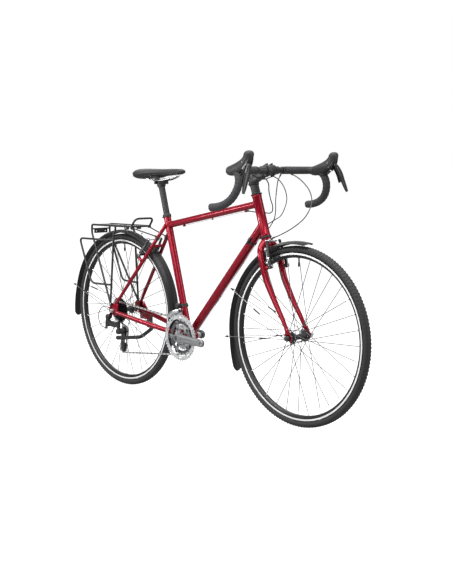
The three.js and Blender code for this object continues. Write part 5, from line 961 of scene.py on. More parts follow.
for name, side in SIDES:
    root = at(924.92, side * 224.02, 961.76)
    stations = [(shift(root, 109 * f, side * 4 * f, 69 * u), 37 * w, 50 * t) for f, u, w, t in HOOD_ROWS]
    hood = limb(stations, steps=52, sides=32, square=2.3)
    notch_at = lever_pivot(side)
    carve(hood, block(shift(notch_at, 6, 0, -16), (30, 13, 46), 1.5, (0, 0.1, 0)))
    hood = paint(soften(hood, 1.2), HOOD)
    cheeks = []
    for cheek in (-1, 1):
        line = [shift(root, 86, side * 3 + cheek * 10.5, 6), shift(root, 103, side * 3.6 + cheek * 10.5, 22),
                shift(root, 113, side * 4 + cheek * 9.5, 44), shift(root, 114, side * 4 + cheek * 8, 62)]
        sections = [(place, 8 - 1.2 * k, 22 - 3.4 * k) for k, place in enumerate(line)]
        cheeks.append(limb(sections, steps=20, sides=16, square=2.6))
    cover = limb([(shift(root, 46, side * 1.5, -18), 26, 4), (shift(root, 70, side * 2, -14), 25, 5),
                  (shift(root, 88, side * 3, -2), 22, 4)], steps=12, sides=20, square=3)
    hinge = pin(shift(notch_at, 0, -17, 0), shift(notch_at, 0, 17, 0), 3)
    parts = [paint(weld(cover, *cheeks), GLOSS), paint(hinge, DARK_STEEL)]
    dress(f"hood_{name}", weld(hood, *parts), "steering", f"brake_hood_{name}", smooth=45)

# %% Brake levers with their gear paddles
LEVER = [(0, 0, 0, 0.9, 1.2), (0.07, 0.51, 0.08, 1.2, 1.4), (0.32, 0.74, 0.38, 1.6, 1.3),
         (0.64, 0.86, 0.67, 1.45, 1), (0.88, 0.95, 0.89, 1.1, 0.9), (1, 1, 1, 0.7, 0.8)]
for name, side in SIDES:
    pivot = lever_pivot(side)
    stations = [(shift(pivot, 43 * forward, side * 52 * out, -110 * down), 15 * wide, 9 * thick)
                for down, forward, out, wide, thick in LEVER]
    spots = [spot for spot, _, _ in stations[1:4]]
    blade = limb(stations, steps=40, sides=24, square=2.6)
    stub = paint(limb([(shift(pivot, -4, 0, 3), 11, 14), (shift(pivot, 8, side * 1, -4), 11.5, 15),
                       (spots[0], 13, 12)], steps=12, sides=20, square=3), SATIN)
    paddle = paint(limb([(shift(spot, -9 - 3.5 * k, 0, -4), 19 - 2 * k, 3.2)
                         for k, spot in enumerate(spots)], steps=20, sides=20, square=3), SATIN)
    lever = weld(paint(blade, GLOSS), stub, paddle)
    dress(f"brake_lever_{name}_with_paddle", lever, f"brake_lever_{name}", f"brake_lever_{name}", smooth=45)

# %% [markdown]
# ## Wheels
#
# Each wheel is turned on a lathe four times: the tyre, the rim, its two silver brake tracks and the
# hub. Thirty-two thin spokes cross three others between the hub's flanges and the rim, and a short
# silver nipple holds each at the rim. The tyre's shoulders carry rows of small blocks.

# %% Rings of repeated parts
def ring_of(thing, centre, count, way=Y):
    """Repeats a part all round an axis."""
    thing.data.transform(Matrix.Translation(-centre))
    thing.location = centre
    clear()
    bpy.ops.object.empty_add(location=centre)
    mark = bpy.context.object
    mark.rotation_euler = Matrix.Rotation(2 * math.pi / count, 3, way).to_euler()
    bpy.context.view_layer.update()
    modify(thing, "ARRAY", count=count, use_relative_offset=False, use_object_offset=True, offset_object=mark)
    bpy.data.objects.remove(mark)
    return settle(thing)


TYRE = finish("tyre_rubber", (0.028, 0.028, 0.03), 0.62, grain=1500, bump=0.3, vary=0.2, specular=0.35)
RIM_BLACK = finish("rim_coating", (0.02, 0.02, 0.022), 0.3, 0.4, grain=900, bump=0.06, vary=0.2)
TRACK = finish("machined_brake_track", (0.9, 0.9, 0.9), 0.4, 0.35, grain=1600, bump=0.15, vary=0.12)
RIM_EDGE, BLOCKS = 317.5, 150


def mirrored(profile):
    """The other half of a profile that is the same on both sides."""
    return [(r, -y) for r, y in reversed(profile)]


# %% Tyres and rims
def tyre(name, centre):
    side = [(RIM_EDGE + rise, out) for rise, out in (
        (0.4, 8), (1.4, 10.6), (4.5, 14.2), (8.5, 15.8), (12.5, 15.9), (16.5, 14.6), (17.2, 14.0),
        (20.5, 11.0), (23.4, 6.6), (24.6, 3.2), (24.9, 1.2), (24.3, 0.7))]
    skin = turned(side + mirrored(side), centre, Y, 160)
    knob = block(shift(centre, RIM_EDGE + 18.3, 13.0, 0), (5.2, 3.6, 5.6), 0.5, (0, 0, -0.75))
    stripe = block(shift(centre, RIM_EDGE + 23.0, 6.4, 0), (2.6, 4.6, 3.0), 0.4, (0, 0, -0.42))
    rows = []
    for source, lag in ((knob, 0.0), (stripe, 0.5)):
        other = twin(source, Matrix.Scale(-1, 4, Y))
        rows.append(ring_of(source, centre, BLOCKS))
        other.data.transform(Matrix.Translation(centre) @ Matrix.Rotation(math.pi * (1 + lag) / BLOCKS, 4, Y)
                             @ Matrix.Translation(-centre))
        rows.append(ring_of(other, centre, BLOCKS))
    return dress(f"{name}_tyre_with_tread", paint(weld(skin, *rows), TYRE), f"{name}_wheel", f"{name}_tyre")


def rim(name, centre):
    side = [(297.5, -4.6), (298.6, -6.4), (304.5, -11.2), (305.6, -11.75), (315.4, -11.95), (316.6, -11.4),
            (317.3, -10.4), (317.3, -9.6), (313, -9.2), (310, -6)]
    body = turned([*side, (309.4, 0), *mirrored(side), (297.3, 0)], centre, Y, 128)
    parts = [paint(body, RIM_BLACK)]
    for side in (1, -1):
        track = turned([(309.4, side * 11), (309.4, side * 12.0), (315.6, side * 12.1), (315.6, side * 11)],
                       centre, Y, 128)
        parts.append(paint(track, TRACK))
    valve = pin(shift(centre, 0, 0, 298), shift(centre, 0, 0, 279), 2.9, 0.4, 16)
    nut = pin(shift(centre, 0, 0, 297.4), shift(centre, 0, 0, 294.2), 5, 0.8, 6)
    cap = turned([(0, 0), (3.2, 0), (3.5, 1), (3.5, 11), (2.4, 15), (1, 16), (0, 16)],
                 shift(centre, 0, 0, 279), Vector((0, 0, -1)), 16)
    parts += [paint(valve, SILVER), paint(nut, SILVER), paint(cap, MATT)]
    return dress(f"{name}_rim_with_tracks", weld(*parts), f"{name}_wheel", f"{name}_rim", smooth=25)


# %% Hubs and spokes
def hub(name, centre, right_end, flanges):
    end = 67.5 if name == "rear" else 50
    left, right = flanges

    def flange(at_y, way):
        """The profile of one flange, from the outer end of the shell inwards."""
        return [(9.5, at_y + way * 4.2), (12, at_y + way * 3), (21, at_y + way * 1.5), (22, at_y + way * 0.8),
                (22, at_y - way * 0.8), (21, at_y - way * 1.5), (13.2, at_y - way * 4.2),
                (11.4, at_y - way * 9), (10.6, at_y - way * 18)]

    profile = [(5.8, -right_end), (9.3, -right_end), (9.5, -right_end + 0.6), *flange(-right, -1),
               *reversed(flange(left, 1)), (9.5, end - 0.6), (9.3, end), (5.8, end)]
    parts = [paint(turned(profile, centre), SATIN)]
    if name == "front":
        parts += [paint(washer(6, 10.6, side * 42, side * 49.6, centre, Y, 36), SILVER) for side in (1, -1)]
    hole, seat = 19, 296.8
    cross = 2 * math.pi * 3 / 16
    for y, lag in ((left, 0), (-right, 0.5)):
        sample = []
        for k in (0, 1):
            hub_turn = 2 * math.pi * (k + lag) / 16
            rim_turn = hub_turn + (cross if k % 2 else -cross)
            head = 1.9 if k % 2 else -1.9
            start = shift(centre, hole * math.cos(hub_turn), y + head, hole * math.sin(hub_turn))
            finish_at = shift(centre, seat * math.cos(rim_turn), math.copysign(2, y),
                              seat * math.sin(rim_turn))
            way = (finish_at - start).normalized()
            spoke = paint(bar([start, finish_at - way * 0.012], 1.3, 8), SPOKE)
            nipple = paint(turned([(1.2, 0), (1.7, 0), (1.9, 1), (1.9, 9), (2.6, 10), (2.6, 12.4),
                                   (0, 12.4), (0, 6), (1.1, 6)], finish_at - way * 0.013, way, 10), SILVER)
            knob = paint(pin(shift(start, 0, -head * 1.3), shift(start, 0, head * 0.4), 1.7, 0.4, 10), STEEL)
            sample += [spoke, nipple, knob]
        parts.append(ring_of(weld(*sample), centre, 8))
    return dress(f"{name}_hub_with_spokes", weld(*parts), f"{name}_wheel", f"{name}_hub_and_spokes",
                 smooth=40)


WHEELS = (("front", front_axle, 50, (34, 34)), ("rear", rear_axle, 24, (35, 21)))
for name, centre, right_end, flanges in WHEELS:
    tyre(name, centre)
    rim(name, centre)
    hub(name, centre, right_end, flanges)

# %% Axles and quick releases
for name, centre, width, pos in (("front", front_axle, 100, 73.05), ("rear", rear_axle, 135, 90.55)):
    edge = width / 2 + 6.7
    rod = paint(pin(side_of(centre, -edge + 0.2), side_of(centre, edge - 0.2), 5, 0.2, 28), STEEL)
    nut = turned([(0, 0), (9.4, 0), (10, 1), (10, 3), (9, 3.8), (9.6, 5), (9.6, 9), (8, 12.4), (5, 13),
                  (0, 13)], side_of(centre, -edge), -Y, 32)
    cup = turned([(0, 0), (9.6, 0), (10, 0.6), (10, 4), (8.6, 6.5), (8.6, 11), (7.6, 13), (0, 13)],
                 side_of(centre, edge), Y, 32)
    axle = weld(rod, paint(nut, SILVER if name == "rear" else SATIN), paint(cup, SILVER))
    dress(f"{name}_axle_with_nut", axle, "steering" if name == "front" else "frame",
          f"{name}_axle_and_skewer")
    reach = ray_at(math.radians(160))
    root = side_of(centre, pos + 3)
    along = Vector((-reach.z, 0, reach.x))
    barrel = pin(root - along * 0.0075, root + along * 0.0075, 6, 1.2, 28)
    arm = limb([(root, 9, 6), (root + reach * 0.015, 9, 6), (root + reach * 0.036, 12, 5),
                (root + reach * 0.052, 10, 4)], across=along, steps=24, sides=20, square=3)
    dress(f"{name}_quick_release", paint(weld(barrel, arm), SILVER), f"{name}_quick_release_lever",
          f"{name}_quick_release_lever", smooth=45)

# %% [markdown]
# ## Chain, cogs and rings
#
# The chain is 12.7 mm from pin to pin. Its path is the tight line round a ring, a cog and the two
# pulleys, worked out as straight runs between circles. Outer and inner links alternate along it, so
# the two kinds are made once and set down pin by pin.

# %% Toothed wheels
PITCH = 12.7
CHAIN_Y = -43
guide_pulley = at(50, CHAIN_Y, 255)
tension_pulley = at(42, CHAIN_Y, 178)


def pitch_radius(teeth):
    return PITCH / (2 * math.sin(math.pi / teeth))


def toothed(centre, teeth, y, thick, hole, tall=4.0, lag=0.0):
    """A flat wheel with a tooth for each link and a round hole."""
    root = pitch_radius(teeth) - 3.6
    outline = []
    for k in range(teeth):
        for share, rise in ((-0.36, 0), (-0.2, 0.45), (-0.08, 1), (0.08, 1), (0.2, 0.45), (0.36, 0)):
            turn = 2 * math.pi * (k + lag + share) / teeth
            radius = (root + tall * 1.5 * rise) / 1000
            outline.append((centre.x + radius * math.cos(turn), centre.z + radius * math.sin(turn)))
    wheel = plate(outline, y - thick / 2, y + thick / 2,
                  lambda x, z: Vector((x, (y - thick / 2) / 1000, z)))
    return carve(wheel, pin(side_of(centre, y - thick - 1), side_of(centre, y + thick + 1), hole, 0.1, 64))


# %% Cassette
COGS = [11, 12, 14, 16, 18, 20, 22, 25, 28]
parts = []
for k, teeth in enumerate(COGS):
    y = CHAIN_Y + (k - 5) * 4
    cog = toothed(rear_axle, teeth, y, 1.9, 17.4 if teeth > 12 else 16.2)
    parts.append(paint(cog, DARK_STEEL))
carrier = turned([(5.8, -67.4), (9.4, -67.4), (9.4, -65.6), (17.2, -65.6), (17.6, -64.6), (17.6, -30),
                  (20, -29.6), (20, -25), (5.8, -24.6)], rear_axle)
lock = turned([(9.6, -66.8), (14.6, -66.8), (16, -65.8), (16, -64.2), (9.6, -64.2)], rear_axle, Y, 24)
for k, teeth in enumerate(COGS[:-1]):
    y = CHAIN_Y + (k - 5) * 4
    reach = pitch_radius(teeth) - 8 if teeth > 14 else 18.4
    parts.append(paint(washer(17, reach, y + 1.1, y + 2.9, rear_axle, Y, 36), SATIN))
dress("cassette_with_teeth", weld(paint(carrier, SATIN), paint(lock, SILVER), *parts), "cassette", "cassette")


# %% Chain
def chain_path():
    """The places of the pins: straight runs and arcs round four wheels."""
    wheels = [(bracket, pitch_radius(36), 1), (rear_axle, pitch_radius(20), 1),
              (guide_pulley, pitch_radius(11), -1), (tension_pulley, pitch_radius(11), 1)]
    runs = []
    for (here, r0, w0), (there, r1, w1) in zip(wheels, wheels[1:] + wheels[:1]):
        dx, dz = (there.x - here.x) * 1000, (there.z - here.z) * 1000
        step = w1 * r1 - w0 * r0
        runs.append(math.atan2(dz, dx) - math.atan2(step, math.sqrt(dx * dx + dz * dz - step * step)))
    line = []
    for k, (centre, radius, way) in enumerate(wheels):
        sweep = (way * (runs[k] - runs[k - 1])) % (2 * math.pi)
        steps = max(3, round(sweep * 10))
        for n in range(steps + 1):
            turn = runs[k - 1] + way * sweep * n / steps - way * math.pi / 2
            line.append(side_of(centre, CHAIN_Y) + ray_at(turn) * (radius / 1000))
    return line + line[:1]


def evenly(line, step):
    """Evenly spread places along a closed line, an even number of them."""
    total = sum((b - a).length for a, b in zip(line, line[1:]))
    count = 2 * round(total / step / 2)
    places, travelled, goal = [], 0, 0
    for a, b in zip(line, line[1:]):
        length = (b - a).length
        while len(places) < count and goal <= travelled + length:
            places.append(a.lerp(b, (goal - travelled) / length))
            goal += total / count
        travelled += length
    return places


def link_plate(y, thick, reach):
    """A figure-of-eight side plate, drawn round two pins."""
    ends = []
    for x0, from_turn in ((PITCH, -110), (0, 70)):
        for k in range(6):
            turn = math.radians(from_turn + k * 44)
            ends.append((x0 + reach * math.cos(turn), reach * math.sin(turn)))
        ends.append((PITCH / 2, 0.72 * reach if x0 else -0.72 * reach))
    return plate(ends, y - thick / 2, y + thick / 2,
                 lambda x, z: Vector((x / 1000, (y - thick / 2) / 1000, z / 1000)))


def link(outer):
    """One link along +X from the origin."""
    gap, radius, half = (2.75, 1.6, 3.3) if outer else (1.75, 3.0, 1.3)
    plates = [link_plate(side * gap, 0.9, 4.0) for side in (1, -1)]
    rollers = [washer(0, radius, -half, half, Vector((x / 1000, 0, 0)), Y, 8) for x in (0, PITCH)]
    return weld(*plates, *rollers)


places = evenly(chain_path(), PITCH / 1000)
samples = [paint(link(True), CHAIN_STEEL), paint(link(False), DARK_STEEL)]
LOWER_SPLIT = tension_pulley.x + 0.15


def off_wheel(spot, centre, teeth):
    """Whether a place on the chain has left a toothed wheel."""
    return (spot - side_of(centre, CHAIN_Y)).length > (pitch_radius(teeth) + 1.5) / 1000


def run_of(spot):
    """Which run of the chain a place belongs to."""
    if min((spot - guide_pulley).length, (spot - tension_pulley).length) < 0.03:
        return "pulleys"
    if tension_pulley.z < spot.z < guide_pulley.z and abs(spot.x - guide_pulley.x) < 0.03:
        return "pulleys"
    if spot.z < guide_pulley.z and off_wheel(spot, bracket, 36):
        return "lower_rear" if spot.x < LOWER_SPLIT else "lower_front"
    if spot.z < rear_axle.z and off_wheel(spot, rear_axle, 20):
        return "entry" if spot.x < guide_pulley.x + 0.06 else "rings"
    return "rings"


runs = {}
for k, here in enumerate(places):
    there = places[(k + 1) % len(places)]
    run = there - here
    stretch = run.length / (PITCH / 1000)
    matrix = (Matrix.Translation(here) @ Matrix.Rotation(-math.atan2(run.z, run.x), 4, "Y")
              @ Matrix.Diagonal((stretch, 1, 1, 1)))
    runs.setdefault(run_of((here + there) / 2), []).append(twin(samples[k % 2], matrix))
for sample in samples:
    bpy.data.objects.remove(sample)
print("links", {name: len(links) for name, links in runs.items()})
dress("chain_on_rings", weld(*runs["rings"]), "frame", "chain", smooth=25)
lower_near = side_of(bracket, CHAIN_Y) - Vector((0, 0, pitch_radius(36) / 1000))
lower_far = tension_pulley - Vector((0, 0, 0.022))
lower_split = lower_near.lerp(lower_far, (lower_near.x - LOWER_SPLIT) / (lower_near.x - lower_far.x))
LINK_SHARE = 0.387
cog_end = side_of(rear_axle, CHAIN_Y) + Vector((0.03, 0, -0.026))
low_half = ("frame", "rear_derailleur_link")
for name, bodies, ends in (
        ("pulleys", ("rear_derailleur_cage",), ()),
        ("entry", low_half, (cog_end, guide_pulley)),
        ("lower_front", low_half, (lower_near, lower_near.lerp(lower_split, 1 / LINK_SHARE))),
        ("lower_rear", ("rear_derailleur_knuckle", "rear_derailleur_cage"), (lower_split, lower_far))):
    piece = dress(f"chain_{name}", weld(*runs[name]), (*bodies, *ends) if ends else bodies[0], smooth=25)

# %% [markdown]
# ## Cranks and chainrings
#
# Three rings sit on a five-armed spider that is one piece with the right crank. Round bolts hold
# them to the arms. The crank arms taper to an eye with an empty round hole, as in the photograph,
# which shows no pedals.

# %% Rings, spider and arms
CRANK = 170


def crank_arm(side, way):
    """One crank: side is left or right of the frame, way is forward or back."""
    def spot(along, y):
        return side_of(shift(bracket, way * along), side * y)

    root, tip = spot(0, 68.5), spot(158, 86)
    arm = limb([(root, 38, 13), (root.lerp(tip, 0.12), 36, 14), (root.lerp(tip, 0.4), 33, 14.5),
                (root.lerp(tip, 0.8), 31, 13), (tip, 31, 13)], across=UP, steps=36, sides=32, square=3.2)
    boss = pin(spot(0, 61.6), spot(0, 75), 17.8, 1.6, 44)
    eye = pin(spot(CRANK, 79.5), spot(CRANK, 92.5), 16, 1.8, 40)
    groove = limb([(spot(30, 78.2), 8, 5), (spot(84, 85.3), 11, 6), (spot(140, 92.2), 6, 4)],
                  across=UP, steps=20, sides=16)
    hole = pin(spot(CRANK, 74), spot(CRANK, 98), 7, 0.1, 32)
    carve(arm, groove)
    carve(arm, hole, keep=True)
    thread = washer(6.2, 7.05, -6.3, 6.3, spot(CRANK, 86), Y, 32)
    # The left crank takes the darker grey as painted shade; the right crank keeps the anodised grey.
    whole = paint(weld(arm, boss, carve(eye, hole)), CRANK_GREY if side < 0 else DARK_GREY_AND_PAINTED_SHADE)
    dust = turned([(0, 0), (9.6, 0), (10, 0.6), (10, 1.4), (6, 2), (4.6, 1), (0, 1)], spot(0, 74.6),
                  Y * side, 32)
    return weld(whole, paint(thread, STEEL), paint(dust, DARK_STEEL))


INNER_Y, MIDDLE_Y, OUTER_Y = -35, -43, -51
rings = [(26, INNER_Y, 30, 3.0), (36, MIDDLE_Y, 56, 2.6), (48, OUTER_Y, 79, 2.8)]
parts = []
for teeth, y, hole, thick in rings:
    # The middle ring is dark grey, partly as its own dark steel and partly as painted shade inside the big
    # ring.
    grey, lag = (DARK_GREY_AND_PAINTED_SHADE, 0.5) if teeth == 36 else (RING_GREY, 0)
    parts.append(paint(toothed(bracket, teeth, y, thick, hole, 4.0, lag), grey))
outer_ring = parts[-1]
for k in range(10):
    turn = 2 * math.pi * (k + 0.5) / 10
    spot = side_of(bracket, OUTER_Y) + ray_at(turn) * 0.0845
    carve(outer_ring, block(spot, (4.4, 8, 19), 1.6, (0, -turn, 0)))
# Thirty-two small dark pins near the teeth of the big ring are painted shade for small dimples there.
for k in range(32):
    spot = side_of(bracket, -52.2) + ray_at(2 * math.pi * (k + 0.25) / 32) * 0.0915
    parts.append(paint(pin(spot, side_of(spot, -53.2), 1.7, 0.3, 10), DARK_STEEL))
for k in range(5):
    turn = 2 * math.pi * (k + 0.5) / 5
    ray = ray_at(turn)
    near, far = side_of(bracket + ray * 0.010, -54), side_of(bracket + ray * 0.060, -54)
    arm = limb([(near, 17, 6), (near.lerp(far, 0.5), 13.5, 5.6), (far, 15, 5)],
               across=Vector((-ray.z, 0, ray.x)), steps=16, sides=24, square=3)
    tip = pin(side_of(bracket + ray * 0.062, -56.6), side_of(bracket + ray * 0.062, -51.6), 8.2, 0.8, 28)
    parts += [paint(arm, CRANK_GREY), paint(tip, CRANK_GREY)]
    for reach, inner in ((0.062, -41.6), (0.035, -33.5)):
        spot = bracket + ray * reach
        parts += [paint(pin(side_of(spot, -56.8), side_of(spot, inner), 4.9, 0.3, 20), SILVER),
                  bolt(side_of(spot, -56.4), -Y, 5.6, 1.8, DARK_STEEL)]
    for teeth, y, lag in ((48, OUTER_Y, 0.36), (36, MIDDLE_Y, 0.2)):
        spot = bracket + ray_at(turn + lag) * (pitch_radius(teeth) - 9) / 1000
        parts.append(paint(pin(side_of(spot, y - 2.2), side_of(spot, y + 2.2), 2, 0.3, 12), SILVER))
axle = paint(pin(side_of(bracket, -61.6), side_of(bracket, 61.2), 11, 0.4, 32), STEEL)
spider_hub = paint(pin(side_of(bracket, -51.2), side_of(bracket, -62), 17.6, 0.8, 40), CRANK_GREY)
dress("crankset_with_rings", weld(crank_arm(-1, 1), axle, spider_hub, *parts), "crankset", "crankset_right")
dress("left_crank", crank_arm(1, -1), "crankset", "crank_left")

# %% [markdown]
# ## Derailleurs
#
# The front one is a curved cage hung on a band round the seat tube. The rear one is a chain of bodies
# on the dropout's lug: a mounting body, a link, a knuckle and a cage with two toothed pulleys.

# %% Front derailleur
BAND = on_seat(132)
band = washer(15.8, 19.5, -6.5, 6.5, BAND, seat_line, 44, (0.5, 0.5))
carrier = block(shift(BAND, -6.7, -25.5, 0), (20, 19.4, 19.4), 3, (0, math.pi / 2 - SEAT_ANGLE, 0))
band_bolt = bolt(shift(BAND, 17, 8, 0), Vector((0.8, 0.6, 0)), 3, 3, SILVER)
ear = block(shift(BAND, 17, 5, 0), (8, 8, 9), 1.2)
lug = pin(shift(BAND, -6.7, -26, 6.5), shift(BAND, -6.7, -35.3, 6.5), 4.6, 0.8, 24)
dress("front_derailleur_body", weld(paint(weld(band, carrier, ear, lug), SATIN), band_bolt), "frame",
      "front_derailleur_clamp")


def cage_outline(inner, outer, start, end, steps=12):
    """The outline of a plate that follows a circle round the bracket."""
    out = []
    for radius, run in ((outer, range(steps + 1)), (inner, range(steps, -1, -1))):
        for k in run:
            turn = start + (end - start) * k / steps
            out.append((BRACKET[0] + radius * math.cos(turn), BRACKET[2] + radius * math.sin(turn)))
    return out


start, end = math.radians(92), math.radians(134)
CAGE_PLATES = ((103.5, 117.5, start, end, -55.7, -57.6), (88.5, 117.5, start, end, -34.7, -36.6),
               (109, 112, start + 0.06, end - 0.06, -57.5, -58.4),
               (115.8, 117.5, start, (start + end) / 2, -36.6, -55.7),
               (107, 109, end - 0.05, end, -36.6, -55.7))
cage_parts = [soften(plate(cage_outline(*outline), y0, y1), 0.4) for *outline, y0, y1 in CAGE_PLATES]
hang = block(shift(BAND, -6.7, -35.7, -19.8), (9.6, 1.9, 13.2), 0.5)
cage = weld(*cage_parts, hang)
dress("front_derailleur_cage_plates", paint(cage, SILVER), "front_derailleur_cage", "front_derailleur_cage")

# %% Rear derailleur
hole = at(-17, 0, 315)
mount = turned([(0, 0), (11, 0), (13, 2), (13, 14.6), (11.4, 17.2), (0, 17.2)], side_of(hole, -74.5), -Y, 36)
mount_bolt = bolt(side_of(hole, -91.6), -Y, 6, 1.8, DARK_STEEL)
reach = limb([(at(-26, -82, 310), 13, 15), (at(-33, -81, 290), 10, 13), (at(-37, -80, 270), 9, 11),
              (at(-36, -80, 263), 8, 9)], steps=20, sides=20, square=2.6)
barrel = turned([(0, 0), (3.6, 0), (4.1, 1), (4.1, 8), (3.2, 10.4), (0, 10.4)], at(-41.4, -80, 262),
                Vector((1, 0, 0)), 20)
dress("rear_derailleur_mounting_body",
      weld(paint(weld(mount, reach), GLOSS), mount_bolt, paint(barrel, SATIN)), "frame",
      "rear_derailleur_mount")
link_outer = limb([(at(-17, -82.6, 287), 24, 5.4), (at(18, -84, 285.5), 27, 6.4),
                   (at(53, -82.6, 285), 24, 5.4)], across=UP, steps=18, sides=24, square=3)
link_inner = limb([(at(-17, -77, 286.6), 22, 4), (at(53, -77, 285), 22, 4)], across=UP, steps=8, sides=20,
                  square=3)
pivots = [pin(at(x, -80, 271.9), at(x, -80, 301.4), 8.3, 1.2, 28) for x in (-17, 53)]
dress("rear_derailleur_links", paint(weld(link_outer, link_inner, *pivots), GLOSS), "rear_derailleur_link",
      "rear_derailleur_link", smooth=40)
post = turned([(0, 0), (11.5, 0), (13, 1.6), (13, 30), (11, 34.4), (0, 34.4)],
              side_of(guide_pulley, -51.5), -Y, 36)
lug = pin(at(53, -80, 255), at(53, -80, 271), 8.2, 1.2, 28)
knuckle_bolt = bolt(side_of(guide_pulley, -85.6), -Y, 5, 1.6, DARK_STEEL)
dress("rear_derailleur_knuckle_body", weld(paint(weld(post, lug), SATIN), knuckle_bolt),
      "rear_derailleur_knuckle", "rear_derailleur_knuckle")


def cage_plate(y0, y1):
    """A long plate with round ends and a window between the pulleys."""
    top, low = guide_pulley, tension_pulley
    lean = math.atan2(top.z - low.z, top.x - low.x)
    outline = []
    for centre, base in ((top, lean - math.pi / 2), (low, lean + math.pi / 2)):
        for k in range(13):
            turn = base + math.pi * k / 12
            outline.append((centre.x + 0.0128 * math.cos(turn), centre.z + 0.0128 * math.sin(turn)))
    side = plate(outline, y0, y1, lambda x, z: Vector((x, y0 / 1000, z)))
    middle = (top + low) / 2
    window = block(side_of(middle, (y0 + y1) / 2), (9, 8, 34), 2, (0, math.pi / 2 - lean, 0))
    return soften(carve(side, window), 0.4)


plates = weld(paint(cage_plate(-51, -49.2), GLOSS), paint(cage_plate(-36.8, -35.1), CRANK_GREY))
screws = []
for centre in (guide_pulley, tension_pulley):
    screws += [paint(pin(side_of(centre, -50.8), side_of(centre, -35.2), 3.4, 0.2, 20), STEEL),
               bolt(side_of(centre, -35.1), Y, 3.6, 1.4, DARK_STEEL)]
dress("rear_derailleur_cage_plates", weld(plates, *screws), "rear_derailleur_cage", "rear_derailleur_cage")
for name, centre in (("guide_pulley", guide_pulley), ("tension_pulley", tension_pulley)):
    wheel = toothed(centre, 11, CHAIN_Y, 2.6, 4.3, 3.6)
    hub_part = washer(4.3, 8, -2.7, 2.7, centre, Y, 28, (0.5, 0.5))
    dress(f"{name}_toothed", paint(weld(wheel, hub_part), MATT), name, name)

# %% [markdown]
# ## Rim brakes
#
# Each wheel has two tall arms that turn on the bosses and carry a rubber block on a threaded stud. A
# thin spring stands along each arm. The right arm holds the bent pipe that the housing ends in, and
# the bare cable runs from it through a ribbed rubber sleeve to the left arm.

# %% Brake arms
MIDDLE = 32.85


def brake_frame(wheel):
    """Root at the seat of the boss, the way out from the frame, the way up the arm and the axle."""
    if wheel == "front":
        return front_brake_root, head_forward, head_line, front_axle
    return rear_brake_root, stay_out, stay_up, rear_axle


def brake(wheel):
    """Dresses both arms of a wheel's brake; gives back the function that finds a place on it."""
    root, out, up, axle = brake_frame(wheel)

    def spot(ahead, above, y):
        return side_of(root + out * (ahead / 1000) + up * (above / 1000), y)

    offset = (root - axle).dot(out) * 1000 + MIDDLE
    pad_up = math.sqrt(308.7**2 - offset**2) - (root - axle).dot(up) * 1000
    outward = spot(MIDDLE, pad_up, 0) - axle
    outward.y = 0
    lean = math.atan2(outward.x, outward.z)
    for name, side in SIDES:
        collar = turned([(0, 25.5), (7.4, 25.5), (8.3, 26.5), (8.3, 38.4), (7.2, 40), (0, 40)],
                        spot(0, 0, side * 44), out, 32)
        rows = ((-3, 44, 9, 14), (18, 44.4, 9, 14.6), (37, 44, 8.6, 14.4), (70, 39.5, 7.6, 12),
                (103.5, 34, 7, 10))
        arm = limb([(spot(MIDDLE, above, side * y), wide, deep) for above, y, wide, deep in rows],
                   steps=36, sides=28, square=3)
        head_bolt = bolt(spot(40, 0, side * 44), out, 4.6, 3)
        spring = bar([spot(28, 4, side * 50.4), spot(27.4, 30, side * 50), spot(27.6, 66, side * 44.6),
                      spot(28.4, 74, side * 42.4)], 0.8, 8)
        screw = bolt(spot(MIDDLE, -2, side * 49), Y * side, 2, 3, STEEL)
        stud = pin(spot(MIDDLE, pad_up, side * 24), spot(MIDDLE, pad_up, side * 54.6), 2.6, 0.4, 16)
        washers = [turned([(2.7, 0), (6.4, 0), (6.8, 0.6), (6.8, 2.6), (2.7, 3.2)],
                          spot(MIDDLE, pad_up, side * y), Y * side, 24) for y in (28, 32.4, 48.8)]
        nut = pin(spot(MIDDLE, pad_up, side * 51.8), spot(MIDDLE, pad_up, side * 55.4), 4.6, 0.5, 6)
        pad_at = spot(MIDDLE, pad_up, side * 19)
        shoe = block(shift(pad_at, 0, side * 2.6, 0), (60, 3.4, 10.4), 1.2, (0, lean, 0))
        rubber = block(shift(pad_at, 0, side * -1.1, 0), (61.6, 6.4, 9.6), 1.2, (0, lean, 0))
        for k in (-1, 0, 1):
            slit_at = shift(pad_at, 16 * k * math.cos(lean), side * -4.6, -16 * k * math.sin(lean))
            carve(rubber, block(slit_at, (2, 3, 14), 0.1, (0, lean, 0)))
        dark = paint(weld(collar, arm), SATIN)
        metal = paint(weld(stud, spring, *washers, nut), SILVER)
        parts = [metal, weld(paint(shoe, MATT), paint(rubber, PAD)), head_bolt, screw]
        if side > 0:
            parts.append(bolt(spot(MIDDLE, 97, side * 38.2), Y * side, 4, 3))
        else:
            line = rounded([spot(MIDDLE, 98, 9), spot(MIDDLE, 98, -46), spot(MIDDLE + 43.5, 98, -46)],
                           21.75, 12)
            parts += [paint(bar(line, 2.9, 20), SILVER),
                      paint(block(spot(MIDDLE, 99, -34.5), (12, 7, 8), 1), STEEL),
                      paint(pin(line[-1] - out * 0.008, line[-1], 3.05, 0.3, 20), SATIN)]
        dress(f"{wheel}_brake_arm_{name}_with_block", weld(dark, *parts), f"{wheel}_brake_arm_{name}",
              f"{wheel}_brake_arm_{name}", smooth=40)
    return spot


